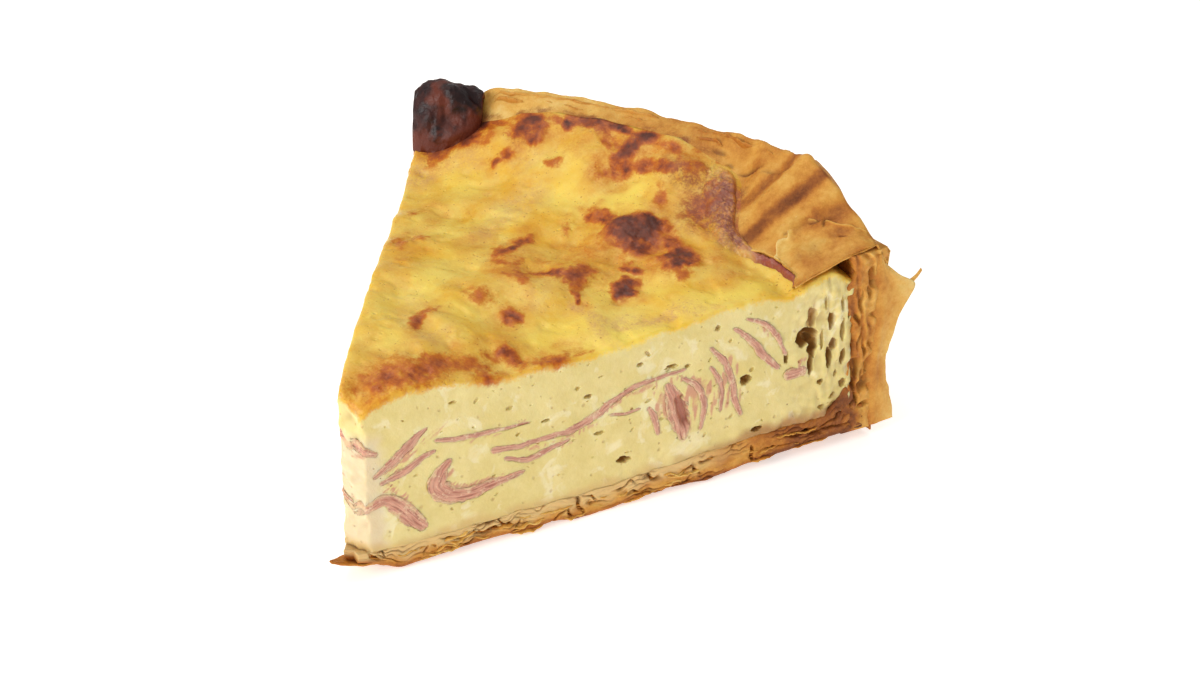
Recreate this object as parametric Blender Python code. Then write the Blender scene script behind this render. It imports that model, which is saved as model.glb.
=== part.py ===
"""A cut slice of ham and cheese quiche, modelled as separate solids.

The slice is a wedge of a round quiche baked in filo pastry: a crust that wraps the filling from below
and outside and folds in over it at one corner, a set custard filling, strips of ham that run through
the filling from one cut face to the other, a ham edge that shows beside the folded pastry, and a
scorched lump at the far corner of the rim.

Everything is laid out in wedge coordinates: a radius from the virtual tip of the slice, a height above
the table, and a sweep that is 0 at the front cut and 1 at the far cut. The shapes are worked out in
millimetres, and the finished pieces are scaled to metres.
"""

import math

import bmesh
import bpy
import numpy as np
from mathutils import Matrix, Vector, noise

METRES_PER_MILLIMETRE = 0.001

# Driving dimensions of the slice, in millimetres like every length below
TIN_RADIUS = 118.5
SLICE_ANGLE = math.radians(58.2)
NOSE_CUT = 5.0
BASE_NOSE_CUT = 3.2
WALL_INNER_RADIUS = 113.2
WALL_FLARE = 1.5
FOLD_DEPTH = 1.5
RIDGE_RADIUS = 117.2
GAP = 0.3

# Surface of the filling, as (radius, height) along three sweeps
FRONT_TOP = ((0, 35), (6, 37), (12, 39.3), (20, 39.5), (28, 38.4), (36, 37.0), (48, 36.9), (60, 37.0),
             (68, 37.6), (76, 39), (86, 40), (93, 39.4), (98, 38.5), (103, 40), (108, 40.8),
             (112, 38.6), (115, 38))
MIDDLE_TOP = ((0, 36), (10, 39), (22, 41), (40, 40), (60, 40.6), (75, 40), (88, 41.6), (98, 44.6),
              (106, 48.4), (115, 51.8))
FAR_TOP = ((0, 36.5), (6, 40), (16, 41.8), (34, 42), (50, 41.6), (64, 40.6), (80, 39.4), (95, 38.9),
           (105, 40.2), (115, 43))
MIDDLE_SWEEP = 0.46
RIM_HOLD = 3.5
BUMP_HEIGHT = 1.5
BUMP_SIZES = (12, 6)
BUMP_AT_CUTS = 0.35
RIPPLE_HEIGHT = 0.45

# Crust along the sweep, as (sweep, value)
RIM_HEIGHT = ((0, 45.2), (0.1, 49.4), (0.19, 55.2), (0.24, 53.8), (0.4, 53), (0.5, 52.4), (0.86, 52),
              (0.9, 49.6), (0.93, 47.8), (1.0, 45.4))
FLAP_EDGE = ((0, 98.8), (0.03, 100.8), (0.1, 100.9), (0.18, 100), (0.22, 101.4), (0.26, 105.6),
             (0.31, 111.2), (0.36, 111.9), (1.0, 111.9))
BASE_TOP = ((0, 6.2), (10, 5.4), (30, 5.2), (58, 5.5), (72, 6.4), (92, 7.4), (113, 8))
BASE_UNDERSIDE = ((0, 4.4), (5, 3.4), (9, 1.6), (13, 0), (96, 0), (106, 0.9), (119, 2.4))
FRONT_LIFT = ((76, 0), (90, 1.2), (100, 2.0), (119, 2.6))
CORNER_HOLLOW = 4.0
FLAP_THICKNESS = 1.1
FOLD_CREASE = 0.5
TEAR_DEPTH = 0.7

# Corner leaf, the outermost sheet that peels away at the front corner, as (height, radius)
LEAF_EDGE = ((2.8, 124.3), (6, 123.8), (12, 122.2), (20, 121.6), (27, 123.2), (32, 126.8),
             (35.6, 128.8), (37.4, 125), (40, 121), (43, 119.4))
LEAF_THICKNESS = 0.8
LEAF_ROOT = ((117.4, 5.2), (119.2, 3.4))
LEAF_DEPTHS = (1.8, 0.6)
TIP_LEAF = ((11, 0.2, 2.4, 4.2), (6, 0.4, 2.8, 3.2), (2.2, 1.0, 3.9, 2.0), (-0.8, 1.6, 5.0, 0.7))

# Ham strips where they meet the front cut, as (radius, height, thickness)
HAM_STRIPS = {
    "ham_nose": ((1, 29.2, 1.6), (5, 28.6, 2.0), (8, 27.4, 1.2)),
    "ham_feather_upper": ((7.6, 22.4, 0.9), (11.4, 24.8, 2.1), (15, 27.6, 2.2), (18.4, 30.2, 0.9)),
    "ham_feather_lower": ((9, 20.6, 0.9), (12.8, 21.6, 1.6), (16.6, 23.6, 1.5), (20, 24.6, 0.8)),
    "ham_thin_ribbon": ((20.4, 26.9, 0.9), (25, 26.1, 1.3), (32, 25.7, 1.0), (40, 25.6, 0.6)),
    "ham_bar": ((1, 14.4, 1.2), (5.4, 15.4, 1.5), (9.2, 16.8, 2.4), (11.8, 15, 3.6), (14.4, 11.7, 3.8),
                (16.8, 9, 2.8)),
    "ham_hook": ((22.9, 21.6, 1.4), (21.2, 19.6, 3.0), (20.3, 16.6, 4.2), (22.8, 14, 3.8),
                 (27, 13.1, 3.0), (32, 13.9, 2.2), (38.4, 14.8, 1.0)),
    "ham_long_ribbon": ((32.4, 21.3, 1.5), (37, 20.9, 1.3), (43, 21, 1.3), (49, 21.2, 1.7),
                        (54, 22.9, 1.9), (58, 25.2, 1.6), (63, 27, 1.3), (68, 27.8, 0.9),
                        (74, 28, 0.7)),
    "ham_lower_branch": ((34.8, 18.8, 0.9), (39, 17.3, 1.3), (44, 18.2, 1.3), (48.4, 19.2, 0.8)),
    "ham_thin_branch": ((57.6, 22.2, 0.7), (60.8, 21.7, 0.9), (64, 21.8, 0.6)),
    "ham_fold_left": ((66.2, 21.2, 1.2), (67.5, 18.4, 1.6), (68.2, 15, 1.0)),
    "ham_fold": ((70.4, 25.1, 1.9), (71.8, 21.4, 4.2), (73, 17.4, 5.0), (74, 13.2, 2.6)),
    "ham_fold_outer": ((73.8, 26, 0.9), (76.8, 23.6, 1.4), (78.4, 20, 1.5), (78.5, 16.6, 1.4),
                       (77.8, 13.4, 0.9)),
    "ham_cross_long": ((79.8, 31.2, 0.8), (82.8, 27.6, 1.5), (85, 22.4, 1.7), (85.6, 18.2, 1.5),
                       (87.2, 14.2, 0.9)),
    "ham_cross_short": ((79.9, 26.9, 0.8), (81.8, 23.6, 1.2), (82.6, 20.2, 1.1), (82.4, 16.4, 0.8)),
    "ham_slant_inner": ((85.2, 34.2, 0.8), (88.8, 31, 1.5), (91.8, 26.8, 1.8), (95.4, 22.8, 1.3)),
    "ham_slant_outer": ((88, 35.7, 0.7), (91.8, 33.8, 1.2), (94.8, 30.4, 1.3), (97.2, 25.4, 0.8)),
    "ham_dice": ((98.2, 20.2, 2.4), (101.2, 20.4, 2.4)),
}
STRIP_STATIONS = 7
FILLING_STATIONS = 23
CRUST_STATIONS = 33
RADIAL_DRIFT = 5.0
HEIGHT_DRIFT = 2.2
STRIP_HEIGHTS = (6, 37)

# Bubbles that the cuts open, as (side, radius, height, half width, half height)
BUBBLES = (
    ("front", 101.6, 32.8, 1.9, 2.4), ("front", 101.2, 29.2, 3.0, 2.7), ("front", 103.4, 25.4, 1.9, 2.8),
    ("front", 103.5, 21.3, 1.4, 2.5), ("front", 107.9, 22, 1.3, 2.6), ("front", 107.2, 31, 1.0, 1.2),
    ("front", 88, 21.9, 1.4, 1.3), ("front", 60.6, 11, 1.7, 1.0), ("far", 96, 29, 2.6, 2.0),
    ("far", 98.6, 26.4, 1.8, 2.2), ("far", 103.2, 22, 1.6, 3.2), ("far", 78, 30.5, 1.5, 1.2),
    ("far", 47, 12, 1.8, 1.1), ("far", 106.8, 30, 1.2, 2.0),
)
BUBBLE_DEPTH = 3.2

# Slits between the pastry layers where the knife went through
BASE_SLITS = ((1.7, 14, 101, 3.1), (3.6, 20, 108, 7.7))
WALL_SLITS = ((114.9, 9.5, 36, 1.9), (116.9, 7, 38, 5.3))
SLIT_WIDTH = 0.5
SLIT_DEPTH = 3.0

# Scorched lump on the far corner of the rim, a rounded crown over a seat
LUMP_SWEEP = (0.868, 1.0)
LUMP_MIDDLE = (110.6, 0.945)
LUMP_HALF_WIDTH = 9.2
LUMP_REACH = (0.08, 0.072)
LUMP_CROWN = 56.0
LUMP_ROUNDNESS = 2.3
LUMP_STATIONS = 12
LUMP_POINTS = 11
CRAG_HEIGHT = 0.9

# Ham edge on top, beside the fold of the crust, with its width as (sweep, value)
EDGE_SWEEP = (0.02, 0.37)
EDGE_WIDTH = ((0.02, 1.5), (0.08, 2.4), (0.16, 3), (0.21, 4.6), (0.26, 8.4), (0.31, 11), (0.35, 9),
              (0.37, 5))
EDGE_HEIGHT = 1.2
EDGE_STATIONS = 18


def smooth_curve(points, position):
    """Read a smooth curve through (position, value) points."""
    xs = [p[0] for p in points]
    ys = [p[1] for p in points]
    if position <= xs[0]:
        return ys[0]
    if position >= xs[-1]:
        return ys[-1]
    i = max(k for k in range(len(xs) - 1) if xs[k] <= position)
    span = xs[i + 1] - xs[i]
    slopes = []
    for k in (i, i + 1):
        low = max(k - 1, 0)
        high = min(k + 1, len(xs) - 1)
        slopes.append((ys[high] - ys[low]) / (xs[high] - xs[low]))
    u = (position - xs[i]) / span
    return (ys[i] * (1 + 2 * u) * (1 - u) ** 2 + slopes[0] * span * u * (1 - u) ** 2
            + ys[i + 1] * u * u * (3 - 2 * u) - slopes[1] * span * u * u * (1 - u))


def ease(low, high, value):
    """Go smoothly from 0 at low to 1 at high."""
    u = min(max((value - low) / (high - low), 0.0), 1.0)
    return u * u * (3 - 2 * u)


def angle_at(sweep):
    """Return the polar angle of a sweep from 0, the front cut, to 1, the far cut."""
    return (sweep - 0.5) * SLICE_ANGLE


def wedge_point(radius, height, sweep):
    """Turn wedge coordinates into a point."""
    angle = angle_at(sweep)
    return Vector((radius * math.cos(angle), radius * math.sin(angle), height))


def nose_radius(cut, sweep):
    """Return the radius where the blunt nose at distance cut meets a sweep."""
    return cut / math.cos(angle_at(sweep))


def wander(x, y, size, seed):
    """Return smooth seeded noise between about -1 and 1 with bumps of the given size."""
    return noise.noise(Vector((x / size + 7.3 * seed, y / size - 3.1 * seed, 1.7 * seed)))


def filling_top(radius, sweep):
    """Return the height of the filling's surface."""
    front = smooth_curve(FRONT_TOP, radius)
    middle = smooth_curve(MIDDLE_TOP, radius)
    far = smooth_curve(FAR_TOP, radius)
    if sweep < MIDDLE_SWEEP:
        share = ease(0, MIDDLE_SWEEP, sweep)
        height = front + (middle - front) * share
    else:
        share = ease(MIDDLE_SWEEP, 1, sweep) ** (1 + RIM_HOLD * ease(88, 108, radius))
        height = middle + (far - middle) * share
    place = wedge_point(radius, 0, sweep)
    broad, narrow = BUMP_SIZES
    bumps = wander(place.x, place.y, broad, 1) + 0.5 * wander(place.x, place.y, narrow, 2)
    inside = BUMP_AT_CUTS + (1 - BUMP_AT_CUTS) * math.sin(math.pi * min(max(sweep, 0), 1))
    return height + bumps * BUMP_HEIGHT * inside


def base_top(radius, sweep):
    """Return the height of the pastry base's upper side."""
    place = wedge_point(radius, 0, sweep)
    return smooth_curve(BASE_TOP, radius) + RIPPLE_HEIGHT * wander(place.x, place.y, 6, 3)


def base_underside(radius, sweep):
    """Return the height of the pastry base's underside, flat where the slice rests."""
    lift = smooth_curve(FRONT_LIFT, radius) * ease(0.14, 0, sweep)
    return max(smooth_curve(BASE_UNDERSIDE, radius), lift, 0)


def wall_inner(height, sweep):
    """Return the radius of the pastry wall's inner side."""
    return WALL_INNER_RADIUS + RIPPLE_HEIGHT * wander(angle_at(sweep) * TIN_RADIUS, height, 9, 4)


def wall_outer(height, sweep):
    """Return the radius of the pastry wall's outer side, with its upright folds."""
    along = angle_at(sweep) * TIN_RADIUS
    folds = wander(along, 0.25 * height, 6.2, 5) + 0.5 * wander(along, height, 11, 6)
    return TIN_RADIUS + WALL_FLARE * height / 45 + FOLD_DEPTH * folds


def rim_height(sweep):
    """Return the height of the rim's ridge."""
    tear = TEAR_DEPTH * wander(angle_at(sweep) * TIN_RADIUS, 0, 5, 8)
    return smooth_curve(RIM_HEIGHT, sweep) + tear * ease(1, 0.86, sweep)


def flap_edge(sweep):
    """Return the radius where the folded-in pastry ends on top of the filling."""
    tear = TEAR_DEPTH * wander(angle_at(sweep) * TIN_RADIUS, 0, 6, 9)
    return smooth_curve(FLAP_EDGE, sweep) + tear * ease(0.34, 0.24, sweep)


def material(name, colour, roughness):
    """Make a plain material."""
    made = bpy.data.materials.new(name)
    made.use_nodes = True
    shader = made.node_tree.nodes["Principled BSDF"]
    shader.inputs["Base Color"].default_value = (*colour, 1)
    shader.inputs["Roughness"].default_value = roughness
    shader.inputs["Metallic"].default_value = 0
    return made


def add_mesh_object(name, bm, finish, collection):
    """Close a bmesh into an object of a collection, with its faces pointing out."""
    bmesh.ops.recalc_face_normals(bm, faces=bm.faces)
    mesh = bpy.data.meshes.new(name)
    bm.to_mesh(mesh)
    bm.free()
    made = bpy.data.objects.new(name, mesh)
    if finish is not None:
        mesh.materials.append(finish)
    collection.objects.link(made)
    return made


def loft(name, sections, finish, collection, trim_nose=False):
    """Skin a row of closed sections that have equally many points, and cap both ends."""
    bm = bmesh.new()
    rings = [[bm.verts.new(point) for point in section] for section in sections]
    for ring, following in zip(rings, rings[1:]):
        for i in range(len(ring)):
            j = (i + 1) % len(ring)
            bm.faces.new((ring[i], ring[j], following[j], following[i]))
    bm.faces.new(rings[0])
    bm.faces.new(rings[-1])
    bm.normal_update()
    bmesh.ops.triangulate(bm, faces=bm.faces)
    if trim_nose:
        cut = bmesh.ops.bisect_plane(bm, geom=bm.verts[:] + bm.edges[:] + bm.faces[:],
                                     plane_co=(NOSE_CUT, 0, 0), plane_no=(1, 0, 0), clear_inner=True)
        edges = [item for item in cut["geom_cut"] if isinstance(item, bmesh.types.BMEdge)]
        bmesh.ops.edgenet_fill(bm, edges=edges)
        bm.normal_update()
        bmesh.ops.triangulate(bm, faces=bm.faces)
    return add_mesh_object(name, bm, finish, collection)


def drifted(radius, height, sweep):
    """Move a point of a ham strip as the strip wanders from the front cut to the far cut."""
    share = min(max(sweep, 0), 1)
    reach = WALL_INNER_RADIUS
    swing = math.sin(2 * math.pi * radius / reach)
    lift = math.sin(2 * math.pi * radius / (0.52 * reach) + 0.9) * share
    roll = math.sin(2 * math.pi * share * 1.2) * 0.5
    lowest, highest = STRIP_HEIGHTS
    room = math.sin(math.pi * min(max((height - lowest) / (highest - lowest), 0), 1))
    return radius + RADIAL_DRIFT * share * swing, height + HEIGHT_DRIFT * room * (lift + roll)


def strip_section(points, sweep, extra, seed):
    """Return the outline of a ham strip at one sweep, made thicker all round by extra."""
    centre = []
    for radius, height, thickness in points:
        place = drifted(radius, height, sweep)
        swell = 1 + 0.2 * wander(radius, sweep * 60, 14, seed) * ease(0, 0.2, sweep)
        centre.append((*place, 0.5 * thickness * swell + extra))
    upper = []
    lower = []
    for i, (radius, height, half) in enumerate(centre):
        before = centre[max(i - 1, 0)]
        after = centre[min(i + 1, len(centre) - 1)]
        run = Vector((after[0] - before[0], after[1] - before[1])).normalized()
        upper.append((radius - run.y * half, height + run.x * half))
        lower.append((radius + run.y * half, height - run.x * half))
    ends = []
    for tip, inner in ((centre[0], centre[1]), (centre[-1], centre[-2])):
        run = Vector((tip[0] - inner[0], tip[1] - inner[1])).normalized()
        ends.append((tip[0] + run.x * tip[2], tip[1] + run.y * tip[2]))
    outline = [ends[0], *upper, ends[1], *reversed(lower)]
    return [wedge_point(radius, height, sweep) for radius, height in outline]


def add_ham_strip(name, points, seed, finish, parts, cutters):
    """Add a ham strip that runs from cut to cut, and the cutter of its slot in the filling."""
    sweeps = np.linspace(0, 1, STRIP_STATIONS)
    sections = [strip_section(points, sweep, 0, seed) for sweep in sweeps]
    strip = loft(name, sections, finish, parts, trim_nose=points[0][0] < NOSE_CUT)
    beyond = [-0.03, *sweeps, 1.03]
    sections = [strip_section(points, sweep, GAP, seed) for sweep in beyond]
    loft("slot_" + name, sections, None, cutters)
    return strip


def cut_face_point(side, radius, height, depth):
    """Return a point that lies depth behind a cut face."""
    angle = angle_at(0 if side == "front" else 1)
    inward = 1 if side == "front" else -1
    along = Vector((math.cos(angle), math.sin(angle), 0))
    across = Vector((-math.sin(angle), math.cos(angle), 0))
    return along * radius + across * (depth * inward) + Vector((0, 0, height))


def add_bubble(side, radius, height, half_width, half_height, cutters):
    """Add the cutter of a bubble that a cut opens."""
    bm = bmesh.new()
    bmesh.ops.create_icosphere(bm, subdivisions=2, radius=1)
    for vert in bm.verts:
        vert.co = cut_face_point(side, radius + vert.co.x * half_width,
                                 height + vert.co.z * half_height,
                                 vert.co.y * BUBBLE_DEPTH)
    add_mesh_object("bubble", bm, None, cutters)


def slit_section(side, centre, across):
    """Return a four-cornered section of a slit that starts outside a cut face."""
    corners = []
    for depth, share in ((-1, -1), (-1, 1), (SLIT_DEPTH, 0.6), (SLIT_DEPTH, -0.6)):
        radius = centre[0] + across[0] * share * 0.5 * SLIT_WIDTH
        height = centre[1] + across[1] * share * 0.5 * SLIT_WIDTH
        corners.append(cut_face_point(side, radius, height, depth))
    return corners


def add_layer_slits(side, cutters):
    """Add the cutters of the gaps between pastry layers at one cut face."""
    shift = 0 if side == "front" else 11
    for level, start, end, seed in BASE_SLITS:
        sections = []
        for radius in np.linspace(start, end, 19):
            lift = wander(radius, 0, 7.5, seed + shift) + 0.016 * max(radius - 60, 0)
            sections.append(slit_section(side, (radius, (level + lift)), (0, 1)))
        loft("base_slit", sections, None, cutters)
    for level, start, end, seed in WALL_SLITS:
        sections = []
        for height in np.linspace(start, end, 9):
            bend = 0.8 * wander(height, 0, 7, seed + shift)
            sections.append(slit_section(side, ((level + bend), height), (1, 0)))
        loft("wall_slit", sections, None, cutters)


def filling_section(sweep):
    """Return the filling's outline at one sweep."""
    nose = nose_radius(NOSE_CUT, sweep)
    floor_height = base_top(WALL_INNER_RADIUS, sweep) + GAP
    outer = [(wall_inner(height, sweep) - GAP - 0.2, height)
             for height in np.linspace(floor_height, filling_top(WALL_INNER_RADIUS, sweep), 6)]
    below = [(radius, base_top(radius, sweep) + GAP + 0.1)
             for radius in np.linspace(nose, outer[0][0], 16)]
    above = [(radius, filling_top(radius, sweep)) for radius in np.linspace(outer[-1][0], nose, 28)]
    rise = above[-1][1] - below[0][1]
    face = [(nose + 0.5 * wander(sweep * 9, share * rise, 5, 12),
             above[-1][1] - share * rise) for share in (0.25, 0.5, 0.75)]
    outline = [*below, *outer[1:-1], *above, *face]
    return [wedge_point(radius, height, sweep) for radius, height in outline]


def fold_height(radius, sweep):
    """Return the height of the upper side of the folded-in pastry."""
    edge = flap_edge(sweep)
    lip = filling_top(edge, sweep) + GAP + FLAP_THICKNESS
    share = min(max((radius - edge) / (RIDGE_RADIUS - edge), 0), 1)
    bulge = 0.85 + 0.45 * ease(0, 0.15, sweep)
    crease = FOLD_CREASE * wander(radius, angle_at(sweep) * TIN_RADIUS, 7, 10) * math.sin(math.pi * share)
    return lip + (rim_height(sweep) - lip) * share ** bulge + crease


def crust_section(sweep):
    """Return the crust's outline at one sweep."""
    nose = nose_radius(BASE_NOSE_CUT, sweep)
    edge = flap_edge(sweep)
    foot = wall_outer(3, sweep) - 1.5
    shares = (0, 0.03, 0.055, 0.085, 0.16, 0.32, 0.5, 0.66, 0.82, 0.9, 0.95, 1)
    reaches = [nose + share * (foot - nose) for share in shares]
    under = [(radius, base_underside(radius, sweep)) for radius in reaches]
    outside = [(wall_outer(height, sweep), height)
               for height in np.linspace(5, rim_height(sweep) - 4, 8)]
    fold = [(radius, fold_height(radius, sweep))
            for radius in np.linspace(RIDGE_RADIUS, edge + 0.06 * (RIDGE_RADIUS - edge), 6)]
    hollow = CORNER_HOLLOW * ease(0.12, 0, sweep)
    underfold = []
    for share in (0, 0.25, 0.5, 0.75, 1):
        radius = edge + share * (wall_inner(filling_top(WALL_INNER_RADIUS, sweep), sweep) - edge)
        height = filling_top(radius, sweep) + GAP + 0.25 + hollow * ease(0.5, 0.8, share)
        underfold.append((radius, min(height, fold_height(radius, sweep) - 0.8 * FLAP_THICKNESS)))
    bottom = base_top(WALL_INNER_RADIUS, sweep)
    inside = [(wall_inner(height, sweep), height)
              for height in np.linspace(underfold[-1][1], bottom, 8)]
    inner_base = [(radius, base_top(radius, sweep))
                  for radius in np.linspace(wall_inner(bottom, sweep), nose, 19)]
    outline = [*under, *outside, *fold, *underfold[:-1], *inside, *inner_base[1:]]
    return [wedge_point(radius, height, sweep) for radius, height in outline]


def add_corner_leaf(finish, collection):
    """Add the outermost sheet, which peels away from the wall at the front corner."""
    sections = []
    for height, reach in LEAF_EDGE:
        bend = LEAF_ROOT[1][0]
        curl = (*LEAF_ROOT, (0.5 * (bend + reach), LEAF_DEPTHS[0]), (reach, LEAF_DEPTHS[1]))
        near = []
        away = []
        for radius, depth in curl:
            taper = LEAF_THICKNESS * (0.4 if radius == reach else 1)
            near.append(cut_face_point("front", radius, height, depth))
            away.append(cut_face_point("front", radius + 0.4 * taper, height,
                                       depth + taper))
        sections.append([*near, *reversed(away)])
    return loft("corner_leaf", sections, finish, collection)


def add_tip_leaf(finish, collection):
    """Add the small sheet that sticks out of the base under the nose."""
    sections = []
    for along, across, height, half_width in TIP_LEAF:
        section = []
        for side, lift in ((-1, -0.4), (1, -0.4), (1, 0.4), (-1, 0.4)):
            section.append(Vector((along, (across + side * half_width),
                                   (height + lift))))
        sections.append(section)
    return loft("tip_leaf", sections, finish, collection)


def add_scorched_lump(finish, collection):
    """Add the scorched lump that sits on the rim and the filling at the far corner."""
    sections = []
    middle, peak = LUMP_MIDDLE
    for sweep in np.linspace(*LUMP_SWEEP, LUMP_STATIONS):
        reach = LUMP_REACH[0] if sweep < peak else LUMP_REACH[1]
        away = abs((sweep - peak) / reach) ** LUMP_ROUNDNESS
        width = LUMP_HALF_WIDTH * max(1 - away, 0.02) ** (1 / LUMP_ROUNDNESS)
        seat = []
        dome = []
        for step in np.sin(np.linspace(-0.5, 0.5, LUMP_POINTS) * math.pi):
            radius = middle + step * width
            below = filling_top(radius, sweep)
            if radius > WALL_INNER_RADIUS - 2:
                below = max(filling_top(WALL_INNER_RADIUS, sweep), rim_height(sweep))
            below += 2 * GAP
            apart = away + abs(step * width / LUMP_HALF_WIDTH) ** LUMP_ROUNDNESS
            crown = max(1 - apart, 0) ** (1 / LUMP_ROUNDNESS)
            place = wedge_point(radius, 0, sweep)
            crag = CRAG_HEIGHT * wander(place.x, place.y, 4.5, 13) * crown
            seat.append((radius, below))
            dome.append((radius, max(below + (LUMP_CROWN - below) * crown + crag, below + 0.5)))
        outline = [*seat, *reversed(dome)]
        sections.append([wedge_point(radius, height, sweep) for radius, height in outline])
    return loft("scorched_lump", sections, finish, collection)


def add_ham_edge(finish, collection):
    """Add the ham edge that shows on top along the fold of the crust."""
    sections = []
    step = (EDGE_SWEEP[1] - EDGE_SWEEP[0]) / (EDGE_STATIONS - 1)
    for sweep in np.linspace(*EDGE_SWEEP, EDGE_STATIONS):
        outer = min(flap_edge(sweep + step * share) for share in (-0.6, 0, 0.6)) - 0.5
        width = smooth_curve(EDGE_WIDTH, sweep)
        outline = []
        for share, lift in ((0, 0), (0.33, 0), (0.67, 0), (1, 0), (0.92, 0.8), (0.55, 1), (0.15, 0.7)):
            radius = outer - width * share
            outline.append((radius, filling_top(radius, sweep) + GAP + 0.2 + lift * EDGE_HEIGHT))
        sections.append([wedge_point(radius, height, sweep) for radius, height in outline])
    return loft("ham_edge", sections, finish, collection)


def carve(target, operation, collection, solver="EXACT"):
    """Join a collection to a solid or cut it away, apply it, and remove the collection's objects."""
    modifier = target.modifiers.new(operation.lower(), "BOOLEAN")
    modifier.operand_type = "COLLECTION"
    modifier.collection = collection
    modifier.operation = operation
    modifier.solver = solver
    depsgraph = bpy.context.evaluated_depsgraph_get()
    mesh = bpy.data.meshes.new_from_object(target.evaluated_get(depsgraph))
    target.modifiers.remove(modifier)
    target.data = mesh
    for item in list(collection.objects):
        bpy.data.objects.remove(item)


def helper_collection(name):
    """Make a collection for cutters or pieces that are still to be joined."""
    made = bpy.data.collections.new(name)
    bpy.context.scene.collection.children.link(made)
    return made


def place_on_table(pieces):
    """Scale the pieces to metres and put the origin under the middle of their common box."""
    for piece in pieces:
        piece.data.transform(Matrix.Scale(METRES_PER_MILLIMETRE, 4))
    corners = [vert.co for piece in pieces for vert in piece.data.vertices]
    low = [min(corner[i] for corner in corners) for i in range(3)]
    high = [max(corner[i] for corner in corners) for i in range(3)]
    shift = Vector((-(low[0] + high[0]) / 2, -(low[1] + high[1]) / 2, -low[2]))
    for piece in pieces:
        piece.location = shift


def main():
    """Build the slice."""
    for item in list(bpy.data.objects):
        bpy.data.objects.remove(item)
    parts = helper_collection("quiche_slice")
    pastry = material("baked_filo", (0.55, 0.29, 0.1), 0.6)
    custard = material("set_custard", (0.72, 0.56, 0.25), 0.45)
    ham = material("cooked_ham", (0.58, 0.3, 0.24), 0.4)
    scorched = material("scorched_ham_and_cheese", (0.1, 0.03, 0.022), 0.5)

    cutters = helper_collection("filling_cutters")
    sweeps = np.linspace(0, 1, FILLING_STATIONS)
    filling = loft("filling", [filling_section(sweep) for sweep in sweeps], custard, parts)
    strips = [add_ham_strip(name, points, 20 + i, ham, parts, cutters)
              for i, (name, points) in enumerate(HAM_STRIPS.items())]
    for bubble in BUBBLES:
        add_bubble(*bubble, cutters)
    carve(filling, "DIFFERENCE", cutters)

    sweeps = np.linspace(0, 1, CRUST_STATIONS)
    crust = loft("crust", [crust_section(sweep) for sweep in sweeps], pastry, parts)
    leaves = helper_collection("crust_leaves")
    add_corner_leaf(pastry, leaves)
    add_tip_leaf(pastry, leaves)
    carve(crust, "UNION", leaves)
    slits = helper_collection("crust_slits")
    add_layer_slits("front", slits)
    add_layer_slits("far", slits)
    carve(crust, "DIFFERENCE", slits)

    lump = add_scorched_lump(scorched, parts)
    edge = add_ham_edge(ham, parts)
    pieces = [filling, crust, lump, edge, *strips]
    place_on_table(pieces)
    for helper in (cutters, leaves, slits):
        bpy.data.collections.remove(helper)


main()
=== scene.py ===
"""Looks of a cut slice of ham and cheese quiche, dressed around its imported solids.

Shapes are laid out in wedge coordinates, in millimetres: a radius from the virtual tip of the slice, a
height above the table, and a sweep that is 0 at the front cut and 1 at the far cut. Finished meshes are
placed in the row frame, in metres.
"""

import logging
import math
from dataclasses import dataclass, field
from enum import Enum
from typing import Iterable, Sequence

import bmesh
import bpy
import numpy as np
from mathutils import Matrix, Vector, noise


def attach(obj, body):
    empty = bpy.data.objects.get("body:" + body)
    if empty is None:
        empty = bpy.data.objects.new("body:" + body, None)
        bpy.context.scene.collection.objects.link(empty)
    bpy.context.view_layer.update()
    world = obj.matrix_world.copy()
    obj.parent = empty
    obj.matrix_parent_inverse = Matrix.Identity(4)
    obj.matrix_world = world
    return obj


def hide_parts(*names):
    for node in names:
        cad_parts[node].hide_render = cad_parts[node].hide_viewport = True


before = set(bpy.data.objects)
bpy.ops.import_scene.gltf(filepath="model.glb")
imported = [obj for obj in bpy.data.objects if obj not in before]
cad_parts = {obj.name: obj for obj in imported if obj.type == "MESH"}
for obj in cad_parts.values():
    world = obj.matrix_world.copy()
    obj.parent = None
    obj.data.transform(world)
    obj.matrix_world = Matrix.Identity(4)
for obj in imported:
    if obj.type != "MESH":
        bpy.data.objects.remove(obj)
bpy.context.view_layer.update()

logging.basicConfig(level=logging.INFO, format="%(name)s: %(message)s")
LOG = logging.getLogger("quiche")

METRES_PER_MILLIMETRE = 0.001
TIP_IN_ROW = (-60.080, 1.935, 0.0)
CLOUD_ROUGHNESS = 0.55
# Numbers of the sockets for colours on a Mix node.
MIX_FIRST_COLOUR, MIX_SECOND_COLOUR, MIX_COLOUR_RESULT = 6, 7, 2
# Noise scale, and metres by which it moves the pits of the custard.
PIT_DRIFT_SCALE, PIT_DRIFT = 900.0, 0.0006
# Small bubbles at the cuts: seed, how much rarer large ones are, tilt in radians, least and greatest shape.
PORE_SEED, PORE_SKEW, PORE_TILT = 7, 3.0, 0.9
PORE_SHAPES = ((0.9, 0.6, 0.5), (1.7, 1.0, 0.9))
# Cells across the filling at the nose, and from each radius outwards.
NOSE_CELLS = 20
CELLS_ACROSS = ((60, 160), (30, 80), (14, 40))

Array = np.ndarray
Real = np.ndarray | float
Marks = dict[str, np.ndarray]
Points = Sequence[tuple[float, float]]
Triple = tuple[float, float, float]
Face = tuple[int, ...]
Paint = tuple[float, float, float, float]
Stops = Sequence[tuple[float, Paint]]
Piece = bpy.types.Object
Material = bpy.types.Material
Tree = bpy.types.NodeTree
Node = bpy.types.Node
Socket = bpy.types.NodeSocket
Value = Socket | float
Colour = Socket | Paint


class Side(Enum):
    """The two faces that the knife left."""

    FRONT = 0
    FAR = 1


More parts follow.
